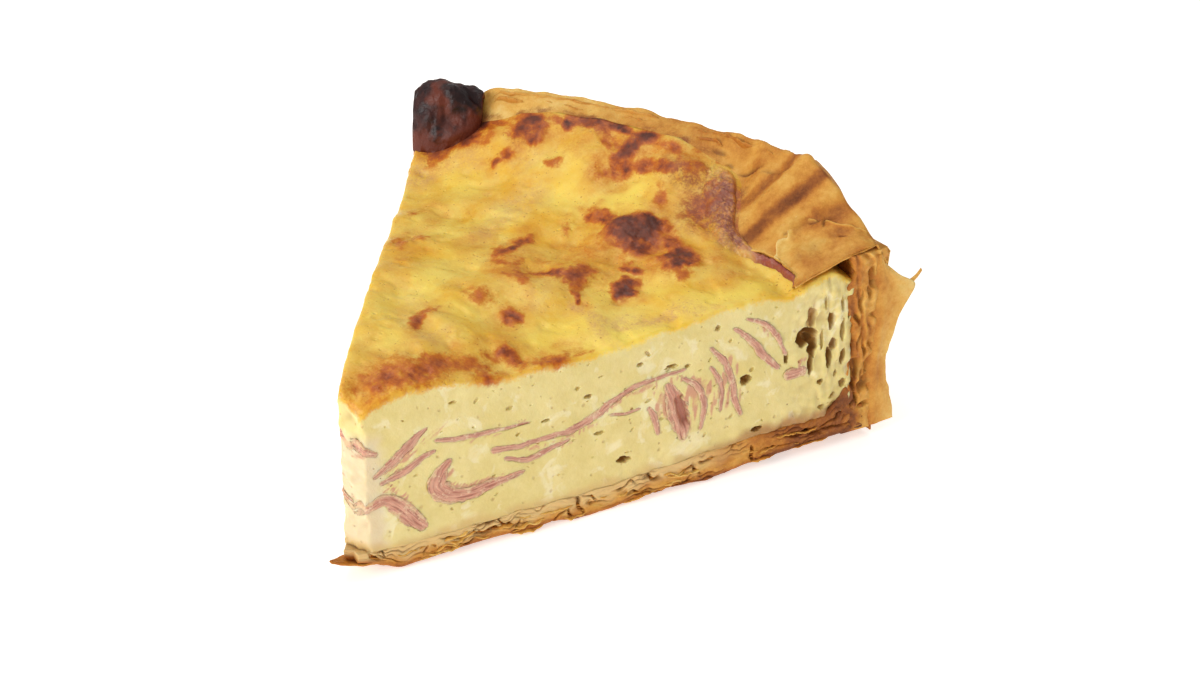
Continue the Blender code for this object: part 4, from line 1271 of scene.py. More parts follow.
WALL_HOLLOWS = (
    (112.7, 23.6, 1.1, 2.2, 10, 1.0), (114.1, 17.7, 1.3, 2.2, -8, 1.0), (113.9, 14.5, 0.6, 1.6, 0, 0.9),
    (117.0, 17.4, 0.8, 2.2, -14, 0.75), (116.0, 13.8, 1.0, 1.9, -35, 0.85),
    (118.0, 12.3, 1.5, 0.6, -20, 0.6), (112.7, 12.0, 1.3, 0.7, -30, 0.9), (113.8, 9.8, 0.8, 1.4, 0, 0.85),
    (114.2, 29.3, 0.4, 1.4, 5, 0.75), (118.0, 22.3, 0.5, 1.4, 20, 0.6), (117.9, 29.0, 1.1, 0.6, -30, 0.45),
    (117.2, 38.4, 0.7, 2.2, 12, 0.65), (116.0, 21.8, 0.4, 1.2, 0, 0.5), (119.6, 15.8, 0.5, 1.8, 0, 0.5),
    (115.0, 33.4, 0.35, 1.8, 4, 0.4), (116.7, 8.6, 1.6, 0.5, 10, 0.55), (114.8, 24.6, 0.35, 1.8, -6, 0.5),
    (116.6, 34.8, 0.3, 1.5, 10, 0.4),
)
# Torn spots of the fold, seen from above: centre, half length, half width, turn and strength.
FOLD_SCARS = (
    (102.3, -43.6, 1.5, 0.3, -65, 0.9), (102.4, -45.2, 1.0, 0.3, 30, 0.8),
    (103.4, -45.6, 1.3, 0.28, -60, 0.8), (100.9, -50.5, 0.8, 0.3, -70, 1.0),
    (98.3, -38.9, 0.6, 0.2, -30, 0.6), (110.5, -23.3, 0.38, 2.4, 4, 1.0),
    (109.8, -29.6, 0.3, 3.4, 10, 0.45), (113.4, -14, 0.5, 1.6, 0, 0.7), (111.4, -17.8, 0.6, 0.9, 0, 0.6),
)


# Torn sheets on the back: first and last sweep, how far they stand proud, lower and upper edge.
WALL_WRAPS = (
    (0.004, 0.2, 0.3, 1.2, 43.0), (0.14, 0.44, 0.55, 1.0, 47.0), (0.38, 0.66, 0.3, 1.4, 49.0),
    (0.6, 0.86, 0.55, 1.2, 48.0), (0.8, 0.996, 0.3, 1.0, 41.0), (0.28, 0.52, 0.85, 14.0, 47.5),
    (0.66, 0.78, 0.85, 20.0, 46.0),
)
# Ragged sheets along the rim: first and last sweep, radius, height above the rim and noise of each.
RIM_RIBBONS = ((0.24, 0.875, 117.0, 0.1, 141), (0.36, 0.87, 115.7, -0.9, 151), (0.09, 0.34, 118.2, -0.4, 171),
               (0.88, 0.998, 116.4, -0.5, 181))
# Ridges of the leathery fold: distance along it, width and height of each.
FOLD_RIDGES = ((34.2, 1.5, 0.8), (24.8, 1.8, 0.9), (40.0, 1.6, 0.5), (18.5, 2.2, 0.4), (46.5, 2.4, 0.6),
               (53, 2, 0.4))


@dataclass
class Crust:
    """The filo crust: a base, a wall with an upright edge, and sheets folded in over the filling."""

    layout: SliceLayout = LAYOUT
    stations: int = 116
    recess: float = 1.5
    recess_reach: float = 10.0
    melt_sweeps: tuple[float, float] = (0.13, 0.2)
    sheet_thickness: float = 0.34
    base_sheets: float = 5.0
    wall_sheets: float = 2.6
    frill_levels: tuple[float, ...] = (0.1, 0.24, 0.38, 0.53, 0.7)
    base_span: tuple[float, float] = (3.4, 116.4)
    frill_span: tuple[float, float] = (5.5, 112)
    slab_depth: float = 5.0
    fold_end: float = 0.874
    flap_reach: tuple[float, float] = (98.6, 117.4)
    flap_end: Points = ((98, 0.085), (100.9, 0.102), (103.6, 0.13), (105.2, 0.119), (106.6, 0.134),
                        (109.2, 0.136), (111.4, 0.108), (113.6, 0.07), (117.4, 0.03))
    leaf_edge: Points = ((2.8, 124.4), (6, 123.8), (12, 122.3), (17, 121.7), (21, 122.4), (27, 124.1),
                         (31, 126.2), (33.4, 127.6), (34.8, 127.0), (36.4, 124.2), (38.5, 122),
                         (40.5, 119.9), (43, 118.9))
    leaf_course: Points = ((0, 116.6), (0.3, 118.9), (1, 120.6))
    leaf_depth: Points = ((0, 1.6), (0.2, 0.0), (0.5, 0.0), (1, 0.3))
    splinter_span: tuple[float, float] = (123.6, 5.9)
    splinter_course: Points = ((0, 33.4), (0.5, 34.1), (0.8, 35.1), (1, 36.2))
    flake_x: Points = ((0, 11), (0.4, 6), (0.75, 2.2), (1, -0.8))
    flake_y: Points = ((0, 0.2), (0.4, 0.4), (0.75, 1.0), (1, 1.6))
    flake_z: Points = ((0, 2.4), (0.4, 2.8), (0.75, 3.9), (1, 5.2))
    flake_half_width: Points = ((0, 4.2), (0.4, 3.2), (0.75, 2.0), (1, 0.5))

    def melted(self, radius: Array, sweep: Real, height: Array, under: float) -> Array:
        """Let the folded-in pastry run out into the filling where it has no free edge.

        Args:
            radius: Radius of each spot.
            sweep: Sweep of each spot.
            height: Height of the plain fold there.
            under: How far below the filling's surface it runs out, in millimetres.

        Returns:
            The height after that.
        """
        layout = self.layout
        share = (radius - layout.flap_edge(sweep) + 1.4) / 8.2
        sunk = layout.top(np.minimum(radius, 112.4), sweep) + TopSkin(layout).relief(radius, sweep) - under
        return height + (sunk - height) * ease(*self.melt_sweeps, sweep) * ease(1, 0, share)

    def ring(self, sweep: float) -> tuple[Array, Array]:
        """Return the crust's outline at one sweep, and how strongly it is baked there.

        Args:
            sweep: Where the outline is taken.

        Returns:
            Radius and height of each point, and its bake from 0 to 1.
        """
        layout = self.layout
        along = float(layout.along(sweep))
        nose = float(layout.nose(layout.base_nose_cut, sweep))
        foot = float(layout.wall_outer(3, sweep)) - 1.5
        shares = np.concatenate([np.linspace(0, 0.1, 12), np.linspace(0.11, 0.9, 84),
                                 np.linspace(0.91, 1, 12)])
        reach = nose + shares * (foot - nose)
        x, y = layout.plan(reach, sweep)
        crease = ease(0.05, 0.5, wander(x, y, 5, 71)) * 0.35 + 0.12 * np.abs(wander(x, y, 1.6, 72))
        under = np.stack([reach, layout.foot(reach, sweep) + crease * ease(0, 0.04, shares)], 1)
        rim = float(layout.rim(sweep))
        heights = np.linspace(4.2, rim - 3.6, 58)
        pleat = 0.3 * wander(along, heights * 0.3, 2.4, 73) + 0.16 * wander(along, heights, 1.2, 74)
        outside = np.stack([layout.wall_outer(heights, sweep) + pleat, heights], 1)
        inward = layout.ridge_radius
        edge = float(layout.flap_edge(sweep))
        radii = np.linspace(inward, edge + 0.05 * (inward - edge), 30)
        lift = 0.14 * wander(radii, along, 1.6, 75)
        height = self.melted(radii, sweep, layout.fold_height(radii, sweep) + lift, 1.2) - 0.2
        fold = np.stack([radii, height], 1)
        shoulder = [outside[-1] * (1 - t) + fold[0] * t + np.array([0.8, 0.5]) * math.sin(math.pi * t)
                    for t in (0.25, 0.5, 0.75)]
        hollow = 4.0 * ease(0.12, 0, sweep)
        inner = float(layout.wall_inner(layout.top(layout.wall_inner_radius, sweep), sweep))
        shares = np.linspace(0, 1, 18)
        radii = edge + shares * (inner - edge)
        height = layout.top(radii, sweep) + layout.gap + 0.25 + hollow * ease(0.5, 0.8, shares)
        height = np.minimum(height, self.melted(radii, sweep, layout.fold_height(radii, sweep), 1.2)
                            - 0.8 * layout.flap_thickness)
        underfold = np.stack([radii, height], 1)
        bottom = float(layout.base_top(layout.wall_inner_radius, sweep))
        heights = np.linspace(underfold[-1, 1], bottom, 20)
        inside = np.stack([layout.wall_inner(heights, sweep), heights], 1)
        radii = np.linspace(inside[-1, 0], nose, 60)
        floor = np.stack([radii, layout.base_top(radii, sweep)], 1)
        parts = ((under, 0.8), (outside, 0.6), (shoulder, 0.55), (fold, 0.5),
                 (underfold[:-1], 0.72), (inside, 0.72), (floor[1:], 0.72))
        return (np.concatenate([part for part, _ in parts]),
                np.concatenate([np.full(len(part), bake) for part, bake in parts]))

    def recessed(self, points: Array) -> Array:
        """Draw points that lie near the cut faces back behind the cut ends of the sheets.

        Args:
            points: Points in millimetres from the virtual tip.

        Returns:
            The points after that.
        """
        for cut in Side:
            outward = self.layout.outward(cut)
            depth = -(points @ outward)
            share = np.clip(1 - depth / self.recess_reach, 0, 1)
            points = points - outward * (self.recess * share)[..., None]
        return points

    def core(self, shell: Shell) -> None:
        """Add the body of the crust.

        Args:
            shell: Where the sheets are collected.
        """
        rings, bakes = [], []
        ends = np.array([0.004, 0.012, 0.022])
        for sweep in [0, *ends, *np.linspace(0.032, 0.968, self.stations), *(1 - ends[::-1]), 1]:
            outline, bake = self.ring(float(sweep))
            rings.append(self.recessed(self.layout.place(outline[:, 0], outline[:, 1], sweep)))
            bakes.append(bake)
        shell.add_loft(np.array(rings), bake=np.array(bakes), sheet_edge=0.0)

    def cut_point(self, cut: Side, radius: Array, depth: Array, height: Array) -> Array:
        """Return points at a depth behind a cut face.

        Args:
            cut: Which cut face.
            radius: Radius of each spot.
            depth: Depth of each spot behind the face.
            height: Height of each spot.

        Returns:
            The points.
        """
        angle = float(self.layout.angle(cut.value))
        radius, depth, height = np.broadcast_arrays(radius, depth, height)
        flat = radius[..., None] * np.array([math.cos(angle), math.sin(angle), 0])
        flat = flat - depth[..., None] * self.layout.outward(cut)
        flat[..., 2] = height
        return flat

    @staticmethod
    def stack(along: Array, share: Array, count: float, bend: Real,
              seed: float) -> tuple[Array, Array]:
        """Return how the sheets of a stack end at a cut.

        Args:
            along: Distance along the sheets, in millimetres.
            share: Place across the stack, from 0 to 1.
            count: How many sheets there are.
            bend: How crumpled they are, from 0 to 1.
            seed: Which noise this is.

        Returns:
            How far each sheet stands out, from -1 to 1, and the grooves between sheets, from 0 to 1.
        """
        level = share * count + 0.35 * wander(along, 0, 13, seed)
        level = level + 0.16 * wander(along, share * 3, 3.5, seed + 1)
        level = level + bend * (1.0 * wander(along, share * 2.4, 2.8, seed + 2)
                                + 0.4 * wander(along, share * 5, 1.2, seed + 3))
        index = np.floor(level)
        near = np.minimum(level - index, index + 1 - level)
        place = index * 3.7
        step = waves(along, place, (1.2, 3.4, seed + 4), (0.6, 1.0, seed + 5))
        return step, np.exp(-(near / 0.14) ** 2)

    def base_cut(self, shell: Shell, cut: Side) -> None:
        """Add the base as the knife left it: soft pastry with crumpled sheets in it.

        Args:
            shell: Where the sheets are collected.
            cut: Which cut face.
        """
        layout = self.layout
        side = cut.value
        radius = np.linspace(*self.base_span, 590)[None, :]
        share = np.linspace(0, 1, 46)[:, None]
        rho = radius + 300.0 * side
        low = layout.foot(radius, side) + 0.03
        high = layout.base_top(radius, side) + 0.4 + 0.35 * wander(rho, 0, 4, 80)
        heap = ease(106, 112.6, radius) * ease(115.2, 113.0, radius)
        high = high + heap * (4.5 + 2.2 * wander(rho, 0, 1.8, 79))
        height = low + share * (high - low)
        place = radius - 5.0 * side
        broad = [(x, 0, 1.3 * length + 1.2, 9, 0, depth) for x, _, length, _, _, depth in BASE_SLITS]
        clump = blotch(place, 0 * place, broad, 78, 0.6, 0.8)
        thin = [(x, z, 1.3 * length, 0.62 * width, turn, depth)
                for x, z, length, width, turn, depth in BASE_SLITS]
        slit = blotch(place, height + 0.5 * wander(rho, 0, 2.6, 75), thin, 77, 1.5, 0.8) ** 1.3
        step, groove = self.stack(rho, share, self.base_sheets, 0.3 + 1.0 * clump, 81)
        outer = ease(76, 98, radius)
        loose = ease(-0.15, 0.35, wander(rho, 2 * height, 7, 87)) * (0.35 + 0.65 * clump)
        push = 0.12 + step * (0.04 + 0.26 * loose) - groove * (0.03 + 0.34 * loose)
        push = push - 1.6 * slit + waves(rho, height, (0.12, 2.4, 88), (0.05, 0.8, 89))
        push = push - 0.6 * np.exp(-share * (high - low) / 0.3)
        push = push - (0.12 + 0.25 * ease(70, 90, radius)) * np.exp(-(1 - share) * (high - low) / 0.35)
        grid = self.cut_point(cut, radius, -push, height)
        back = np.stack([self.cut_point(cut, radius[0], self.slab_depth, edge)
                         for edge in (low[0] + 0.6, high[0] - 0.6)])
        skin = ease(1.7, 0.7, height - low)
        # Painted light and shade: the bake is raised in grooves between loose sheets and lowered where sheets
        # stand out; dark paints shade into slits and grooves.
        bake = 0.46 + 0.2 * skin + 0.14 * wander(rho, height * 2, 6, 90) + 0.26 * ease(88, 104, radius)
        bake = bake + 0.1 * outer * share + 0.12 * groove * loose - 0.1 * step * loose
        damp = ease(0.2, 0.8, share + 0.3 * wander(rho, height, 3, 76)) * ease(92, 72, radius)
        dark = np.clip(0.8 * slit + groove * (0.12 + 0.6 * loose), 0, 1)
        shell.add_slab(grid, back, bake=bake, sheet_edge=0.0, damp=damp, dark=dark)

    def base_frills(self, shell: Shell, cut: Side) -> None:
        """Add the torn edges of the base's sheets that stand out of a cut.

        Args:
            shell: Where the sheets are collected.
            cut: Which cut face.
        """
        layout = self.layout
        side = cut.value
        radius = np.linspace(*self.frill_span, 560)[:, None]
        v = np.linspace(0, 1, 7)[None, :]
        rho = radius + 300.0 * side
        low = layout.foot(radius, side)
        high = layout.base_top(radius, side)
        for level in self.frill_levels:
            seed = 210 + 20 * level
            wave = 0.6 * wander(rho, level * 3, 5.0, 208) + 0.7 * wander(rho, level * 4, 2.0, 209)
            height = low + level * (high - low) + wave * ease(0, 0.2, level)
            height = height + 0.12 * wander(rho, level * 9, 0.8, seed + 2)
            loose = ease(-0.1, 0.4, wander(rho, level * 9, 7, seed + 3)) * ease(112, 104, radius)
            torn = 0.5 * wander(rho, level * 9, 1.7, seed + 4) + 0.3 * wander(rho, 0, 0.7, seed + 5)
            reach = loose * (0.85 + torn) - 0.35
            height = height + v ** 2 * loose * (0.7 * wander(rho, level * 9, 2.6, seed + 6) - 0.15)
            grid = self.cut_point(cut, radius, 1.2 - v * (1.2 + reach), np.maximum(height, low + 0.12))
            # Painted light and shade: loose frills are painted paler towards their free edges, and dark
            # paints shade at their roots.
            tone = 0.58 - 0.28 * v * loose + 0.12 * wander(rho, level * 9, 6, seed + 7)
            tone = tone + 0.2 * ease(84, 100, radius)
            shell.add_sheet(grid, 0.22, bake=tone, sheet_edge=v ** 4 * loose, damp=0.0,
                            dark=0.75 * ease(0.75, 0.3, v) * loose)

    def wall_cut(self, shell: Shell, cut: Side) -> None:
        """Add the wall as the knife left it: upright ruffled sheets with hollows between them.

        Args:
            shell: Where the sheets are collected.
            cut: Which cut face.
        """
        layout = self.layout
        side = cut.value
        top = float(layout.rim(side)) - (1.0 if cut is Side.FRONT else 0.8)
        height = np.linspace(2.5, top, 270)[None, :]
        share = np.linspace(0, 1, 56)[:, None]
        level = height + 300.0 * side
        inner = layout.wall_inner(height, side) - 1.0
        inner = inner + waves(level, 0, (1.6, 3.0, 98), (0.5, 1.2, 93))
        outer = layout.wall_outer(height, side)
        outer = outer + waves(level, 0, (1.2, 4.2, 90), (0.5, 1.4, 89))
        radius = inner + share * (outer - inner)
        bent = radius + 0.5 * wander(level, radius, 3.2, 100)
        hollow = blotch(bent, height + (2.5 if cut is Side.FAR else 0), WALL_HOLLOWS, 99, 0.9, 0.7)
        step, _ = self.stack(level, share, self.wall_sheets, 0.9, 91)
        across = radius + 0.12 * height
        phase = 2.7 * across + 4.6 * wander(0.35 * level, across, 2.6, 97)
        phase = phase + 2.4 * wander(level, across, 2.4, 102)
        ruffled = ease(0.98, 0.62, share + 0.6 * ease(13, 6, height))
        wave = 0.3 + 0.7 * ruffled * np.sin(phase) * (0.6 + 0.9 * wander(0.6 * level, across, 2.2, 92))
        push = 0.1 + 0.5 * wave + 0.06 * step - 1.8 * hollow + 0.16 * wander(level, radius, 1.0, 96)
        width = outer - inner
        push = push - 0.4 * np.exp(-share * width / 0.3) - 0.55 * np.exp(-(1 - share) * width / 1.1)
        push = push * ease(2.0, 5.0, height)
        grid = self.cut_point(cut, radius, -push, height)
        back = np.stack([self.cut_point(cut, edge, self.slab_depth, height[0])
                         for edge in (inner[0] + 0.8, outer[0] - 0.8)])
        scorch = ease(16, 7, height + 2.0 * wander(level, radius, 3, 94)) * ease(0.75, 0.2, share)
        inward = ease(0.55, 0.1, share)
        # Painted light and shade: ruffle crests are painted paler and troughs darker (- 0.15 * wave), and
        # dark paints shade into the hollows and troughs.
        bake = 0.5 + 0.28 * scorch - 0.15 * wave + 0.18 * inward + 0.12 * wander(level, radius, 5, 95)
        dark = np.clip(0.8 * hollow + (0.26 + 0.4 * inward) * ease(0.1, -0.6, wave), 0, 1)
        shell.add_slab(grid, back, bake=bake, sheet_edge=0.0, damp=0.0, dark=dark)

    def wall_wraps(self, shell: Shell) -> None:
        """Add the torn sheets that overlap on the outside of the wall.

        Args:
            shell: Where the sheets are collected.
        """
        for index, (first, last, proud, low, high) in enumerate(WALL_WRAPS):
            columns = max(int((last - first) * 180), 12)
            u = np.linspace(0, 1, columns)[:, None]
            v = np.linspace(0, 1, 46)[None, :]
            tear = waves(v * 40, index * 9, (0.012, 7, 101), (0.006, 2, 102))
            sweep = np.clip(first + tear * (first > 0.01) + u * (last - first + tear), 0.001, 0.999)
            along = self.layout.along(sweep)
            bottom = low + 1.5 * wander(along, index, 6, 103) * (low > 5)
            top = high + waves(along, index, (1.6, 7, 104), (0.8, 2.2, 105))
            height = bottom + v * (top - bottom)
            curl = (np.exp(-u / 0.05) + np.exp(-(1 - u) / 0.05)) * 0.5 + np.exp(-(1 - v) / 0.08) * 0.6
            pleat = 0.3 * wander(along, height * 0.3, 2.4, 73) + 0.2 * wander(along, height, 1.5, 106 + index)
            radius = self.layout.wall_outer(height, sweep) + proud + pleat + 0.4 * curl
            grid = self.layout.place(radius, height, sweep)
            bake = 0.48 + 0.2 * wander(along, height, 9, 107) + 0.03 * curl + 0.16 * ease(9, 2, height)
            shell.add_sheet(grid, self.sheet_thickness, bake=bake, sheet_edge=np.clip(curl, 0, 1))

    def fold_face(self, radius: Array, sweep: Array) -> tuple[Array, Array]:
        """Return the relief and the tone of the leathery fold at the front corner.

        Args:
            radius: Radius of each spot.
            sweep: Sweep of each spot.

        Returns:
            Height above the plain fold, and how much darker than plain the spot is.
        """
        x, y = self.layout.plan(radius, sweep)
        bent = 0.57 * x + 0.82 * y + 0.9 * wander(x, y, 9, 112)
        fold = np.zeros(np.shape(x))
        for middle, width, lift in FOLD_RIDGES:
            fold = fold + lift * np.exp(-((bent - middle) / width) ** 2)
        swell = 0.45 * wander(x, y, 7, 113) + 0.16 * wander(x + y, x - y, 2.6, 114)
        swell = swell + 0.06 * wander(x, y, 1.1, 115)
        fold = fold * ease(0.5, 0.4, sweep)
        # Painted shade and light: the valleys between the ridges are painted darker, and the ridges paler (-
        # 0.1 * fold).
        valley_shade = ease(2.4, 0.5, np.abs(bent - 29.6)) + 0.7 * ease(2.0, 0.5, np.abs(bent - 37.4))
        valley_shade = valley_shade * ease(-20, -28, y)
        return fold + swell, 0.24 * valley_shade + self.crease_tone(x, y) - 0.1 * fold + 0.1 * wander(x, y, 3.5, 116)

    @staticmethod
    def crease_tone(x: Array, y: Array) -> Array:
        """Return how much browner the fold is round its torn creases."""
        creases = ((104, -45.4, 4.6, 2.2, -55, 1), (101.6, -49.6, 3.4, 1.6, -60, 0.8))
        return 0.16 * blotch(x, y, creases, 130, 1.6, 0.7)

    def fold_sheets(self, shell: Shell) -> None:
        """Add the sheets folded in over the filling at the front corner.

        Args:
            shell: Where the sheets are collected.
        """
        layout = self.layout
        ridge = layout.ridge_radius
        sweep = np.linspace(0, self.fold_end, 330)[:, None]
        v = np.linspace(0, 1, 72)[None, :]
        along = layout.along(sweep)
        edge = layout.flap_edge(sweep) - 0.1
        edge = edge + waves(along, 0, (0.35, 3.6, 117), (0.22, 1.1, 118))
        melt = ease(*self.melt_sweeps, sweep)
        edge = np.minimum(edge, ridge - 4.5) - 1.3 * melt
        reach = edge + v * (ridge + 5.9 - edge)
        over = np.maximum(reach - ridge - 0.6, 0)
        radius = np.minimum(reach, ridge + 0.6 + 0.5 * over)
        lift, tone = self.fold_face(radius, sweep)
        calm = ease(0, 0.22, v) * ease(1.0, 0.8, v) * (0.5 + 0.5 * ease(0.0, 0.03, sweep))
        scar = blotch(*layout.plan(radius, sweep), FOLD_SCARS, 119, 0.3, 0.5)
        height = layout.fold_height(np.minimum(radius, ridge), sweep) + 0.12 + lift * calm
        height = height - 0.9 * over - 0.9 * scar
        loose = np.exp(-v / 0.04) * ease(-0.1, 0.5, wander(along, 0, 4, 120)) * ease(0, 0.05, sweep)
        height = height + 0.35 * loose * (1 - melt)
        height = self.melted(radius, sweep, height, 0.45)
        # dark=scar paints shade into the torn dents.
        shell.add_sheet(layout.place(radius, height, sweep), self.sheet_thickness + 0.06,
                        bake=0.5 + 1.2 * tone - 0.24 * ease(0.5, 0.72, sweep) - 0.08 * np.exp(-v / 0.03),
                        sheet_edge=np.exp(-v / 0.03), damp=0.0, dark=scar)
        self.flap(shell)

    def flap(self, shell: Shell) -> None:
        """Add the puffed flap that lies over the fold beside the front cut.

        Args:
            shell: Where the sheets are collected.
        """
        layout = self.layout
        ridge = layout.ridge_radius
        reach = np.linspace(*self.flap_reach, 92)[:, None]
        last = smooth_curve(self.flap_end, reach)
        last = last + waves(reach, 0, (0.004, 1.6, 122), (0.003, 0.7, 123))
        u = np.linspace(0, 1, 54)[None, :]
        sweep = u * last
        torn = 0.3 * wander(layout.along(sweep), 0, 2, 124) - 0.35
        radius = np.maximum(reach, layout.flap_edge(sweep) + torn)
        x, y = layout.plan(radius, sweep)
        scar = blotch(x, y, FOLD_SCARS, 119, 0.3, 0.5)
        puff = waves(x, y, (0.5, 4.5, 125), (0.2, 1.8, 126))
        height = layout.fold_height(np.minimum(radius, ridge), sweep) + 0.62
        height = height + puff * np.sin(math.pi * u) * 0.9
        height = height + 0.25 * ease(0.8, 1, u) - 0.7 * scar - 0.5 * ease(115, 117.4, reach)
        pale = ease(107.5, 101, reach) * ease(0.3, 0.9, u)
        tone = 0.46 + 0.12 * wander(x, y, 4, 127) - 0.2 * ease(0.9, 1, u) + 0.1 * ease(0.3, 0.0, u)
        tone = tone - 0.2 * pale + self.crease_tone(x, y)
        # dark=scar paints shade into the torn dents.
        shell.add_sheet(layout.place(radius, height, sweep), self.sheet_thickness, bake=tone,
                        sheet_edge=ease(0.96, 1, u), damp=0.0, dark=scar)

    def rim_sheets(self, shell: Shell) -> None:
        """Add the ragged sheets that stand up along the rim.

        Args:
            shell: Where the sheets are collected.
        """
        for first, last, middle, lower, seed in RIM_RIBBONS:
            columns = int((last - first) * 260)
            sweep = np.linspace(first, last, columns)[:, None]
            v = np.linspace(0, 1, 9)[None, :]
            along = self.layout.along(sweep)
            tip = self.layout.rim(sweep) + lower
            tip = tip + waves(along, seed, (0.45, 3.4, seed + 1), (0.3, 1.1, seed + 2))
            share = (sweep - first) / (last - first)
            ends = ease(0, 0.06, share) * ease(1, 0.94, share)
            height = tip - 5.5 + v * 5.5 * (0.35 + 0.65 * ends)
            lean = waves(along, v * 2, (0.9, 5, seed + 3), (0.4, 2, seed + 4))
            radius = middle + lean * v - 0.5 * v ** 2
            grid = self.layout.place(radius, height, sweep)
            tone = 0.45 + 0.16 * wander(along, seed, 7, seed + 5) + 0.08 * v + 0.11 * ease(0.62, 0.5, sweep)
            shell.add_sheet(grid, self.sheet_thickness * (1.1 - 0.4 * v), bake=tone, sheet_edge=v ** 4)

    def leaves(self, shell: Shell) -> None:
        """Add the sheet that peels away at the front corner and the flake under the nose.

        Args:
            shell: Where the sheets are collected.
        """
        height = np.linspace(self.leaf_edge[0][0], self.leaf_edge[-1][0], 74)[:, None]
        v = np.linspace(0, 1, 26)[None, :]
        reach = smooth_curve(self.leaf_edge, height) + 0.35 * wander(height, 0, 1.8, 191)
        radius = smooth_curve(self.leaf_course, v) + (reach - self.leaf_course[-1][1]) * v ** 1.5
        depth = smooth_curve(self.leaf_depth, v)
        ripple = 0.4 * wander(height * 0.5, v * 6, 3.2, 192) + 0.1 * wander(height, v * 9, 1.3, 193)
        ripple = ripple * ease(0, 0.4, v)
        grid = self.cut_point(Side.FRONT, radius, depth + ripple + 0.08, height)
        tone = 0.4 + 0.14 * wander(height, v * 8, 5, 194)
        tone = tone - 0.12 * ease(0.4, 0.9, v) + 0.16 * ease(0.45, 0.1, v)
        shell.add_sheet(grid, 0.5 - 0.25 * v, bake=tone, sheet_edge=v ** 8)
        self.splinter(shell)
        self.flake(shell)

    def splinter(self, shell: Shell) -> None:
        """Add the tip that points away from the peeling sheet.

        Args:
            shell: Where the sheets are collected.
        """
        u = np.linspace(0, 1, 16)[:, None]
        v = np.linspace(-1, 1, 8)[None, :]
        start, length = self.splinter_span
        reach = start + length * u
        height = smooth_curve(self.splinter_course, u) + v * (1.1 - 0.75 * u)
        depth = 0.3 + 0.3 * v ** 2 + 0.5 * u ** 2
        shell.add_sheet(self.cut_point(Side.FRONT, reach, depth, height), 0.3, bake=0.3 + 0.12 * u,
                        sheet_edge=u ** 3)

    def flake(self, shell: Shell) -> None:
        """Add the flake under the nose.

        Args:
            shell: Where the sheets are collected.
        """
        u = np.linspace(0, 1, 20)[:, None]
        v = np.linspace(-1, 1, 14)[None, :]
        x = smooth_curve(self.flake_x, u) + 0.3 * wander(v * 4, u * 4, 1.5, 195)
        y = smooth_curve(self.flake_y, u) + v * smooth_curve(self.flake_half_width, u)
        z = smooth_curve(self.flake_z, u) + 0.3 * wander(x, y, 2, 196)
        z = z + 0.35 * v ** 2 * u
        grid = np.stack(np.broadcast_arrays(x, y, z), -1)
        shell.add_sheet(grid, 0.4, bake=0.4 + 0.3 * u, sheet_edge=np.abs(v) ** 6 * 0.5)

    def build(self, finish: Material) -> list[Piece]:
        """Make the crust's pieces.

        Args:
            finish: The material.

        Returns:
            The dressed pieces.
        """
        core = Shell()
        self.core(core)
        pieces = [dress(core.make("crust_body"), finish, Slot.CRUST, "crust")]
        for cut in Side:
            shell = Shell()
            self.base_cut(shell, cut)
            self.base_frills(shell, cut)
            self.wall_cut(shell, cut)
            pieces.append(dress(shell.make(f"crust_cut_{cut.name.lower()}"), finish, Slot.CRUST, "crust"))
        for name, method in (("wall_wraps", self.wall_wraps), ("fold_sheets", self.fold_sheets),
                             ("rim_sheets", self.rim_sheets), ("leaves", self.leaves)):
            shell = Shell()
            method(shell)
            pieces.append(dress(shell.make("crust_" + name), finish, Slot.CRUST, "crust"))
        for piece in pieces:
            self.stain(piece.data)
        return pieces

    def stain(self, mesh: bpy.types.Mesh) -> None:
        """Carry the browned patches of the filling on over the pastry beside them.

        Args:
            mesh: The mesh.
        """
        x, y, z = slice_points(mesh).T
        reach = np.hypot(x, y)
        near = ease(40, 43, z) * ease(118.5, 113.0, reach)
        toast = TopSkin.toast(x, y) * ease(-33, -26, y)
        mauve = TopSkin.mauve(x, y)
        fringe = ease(109.5, 111.5, reach) * ease(115.5, 113, reach) * ease(-22, -14, y)
        fringe = fringe * (0.36 + 0.8 * wander(x, y, 2.6, 128)) * ease(58, 34, y)
        spots = np.maximum(np.maximum(toast, 0.9 * mauve), fringe) + 0.3 * wander(x, y, 3, 129)
        set_attribute(mesh, "stain", spots * near)


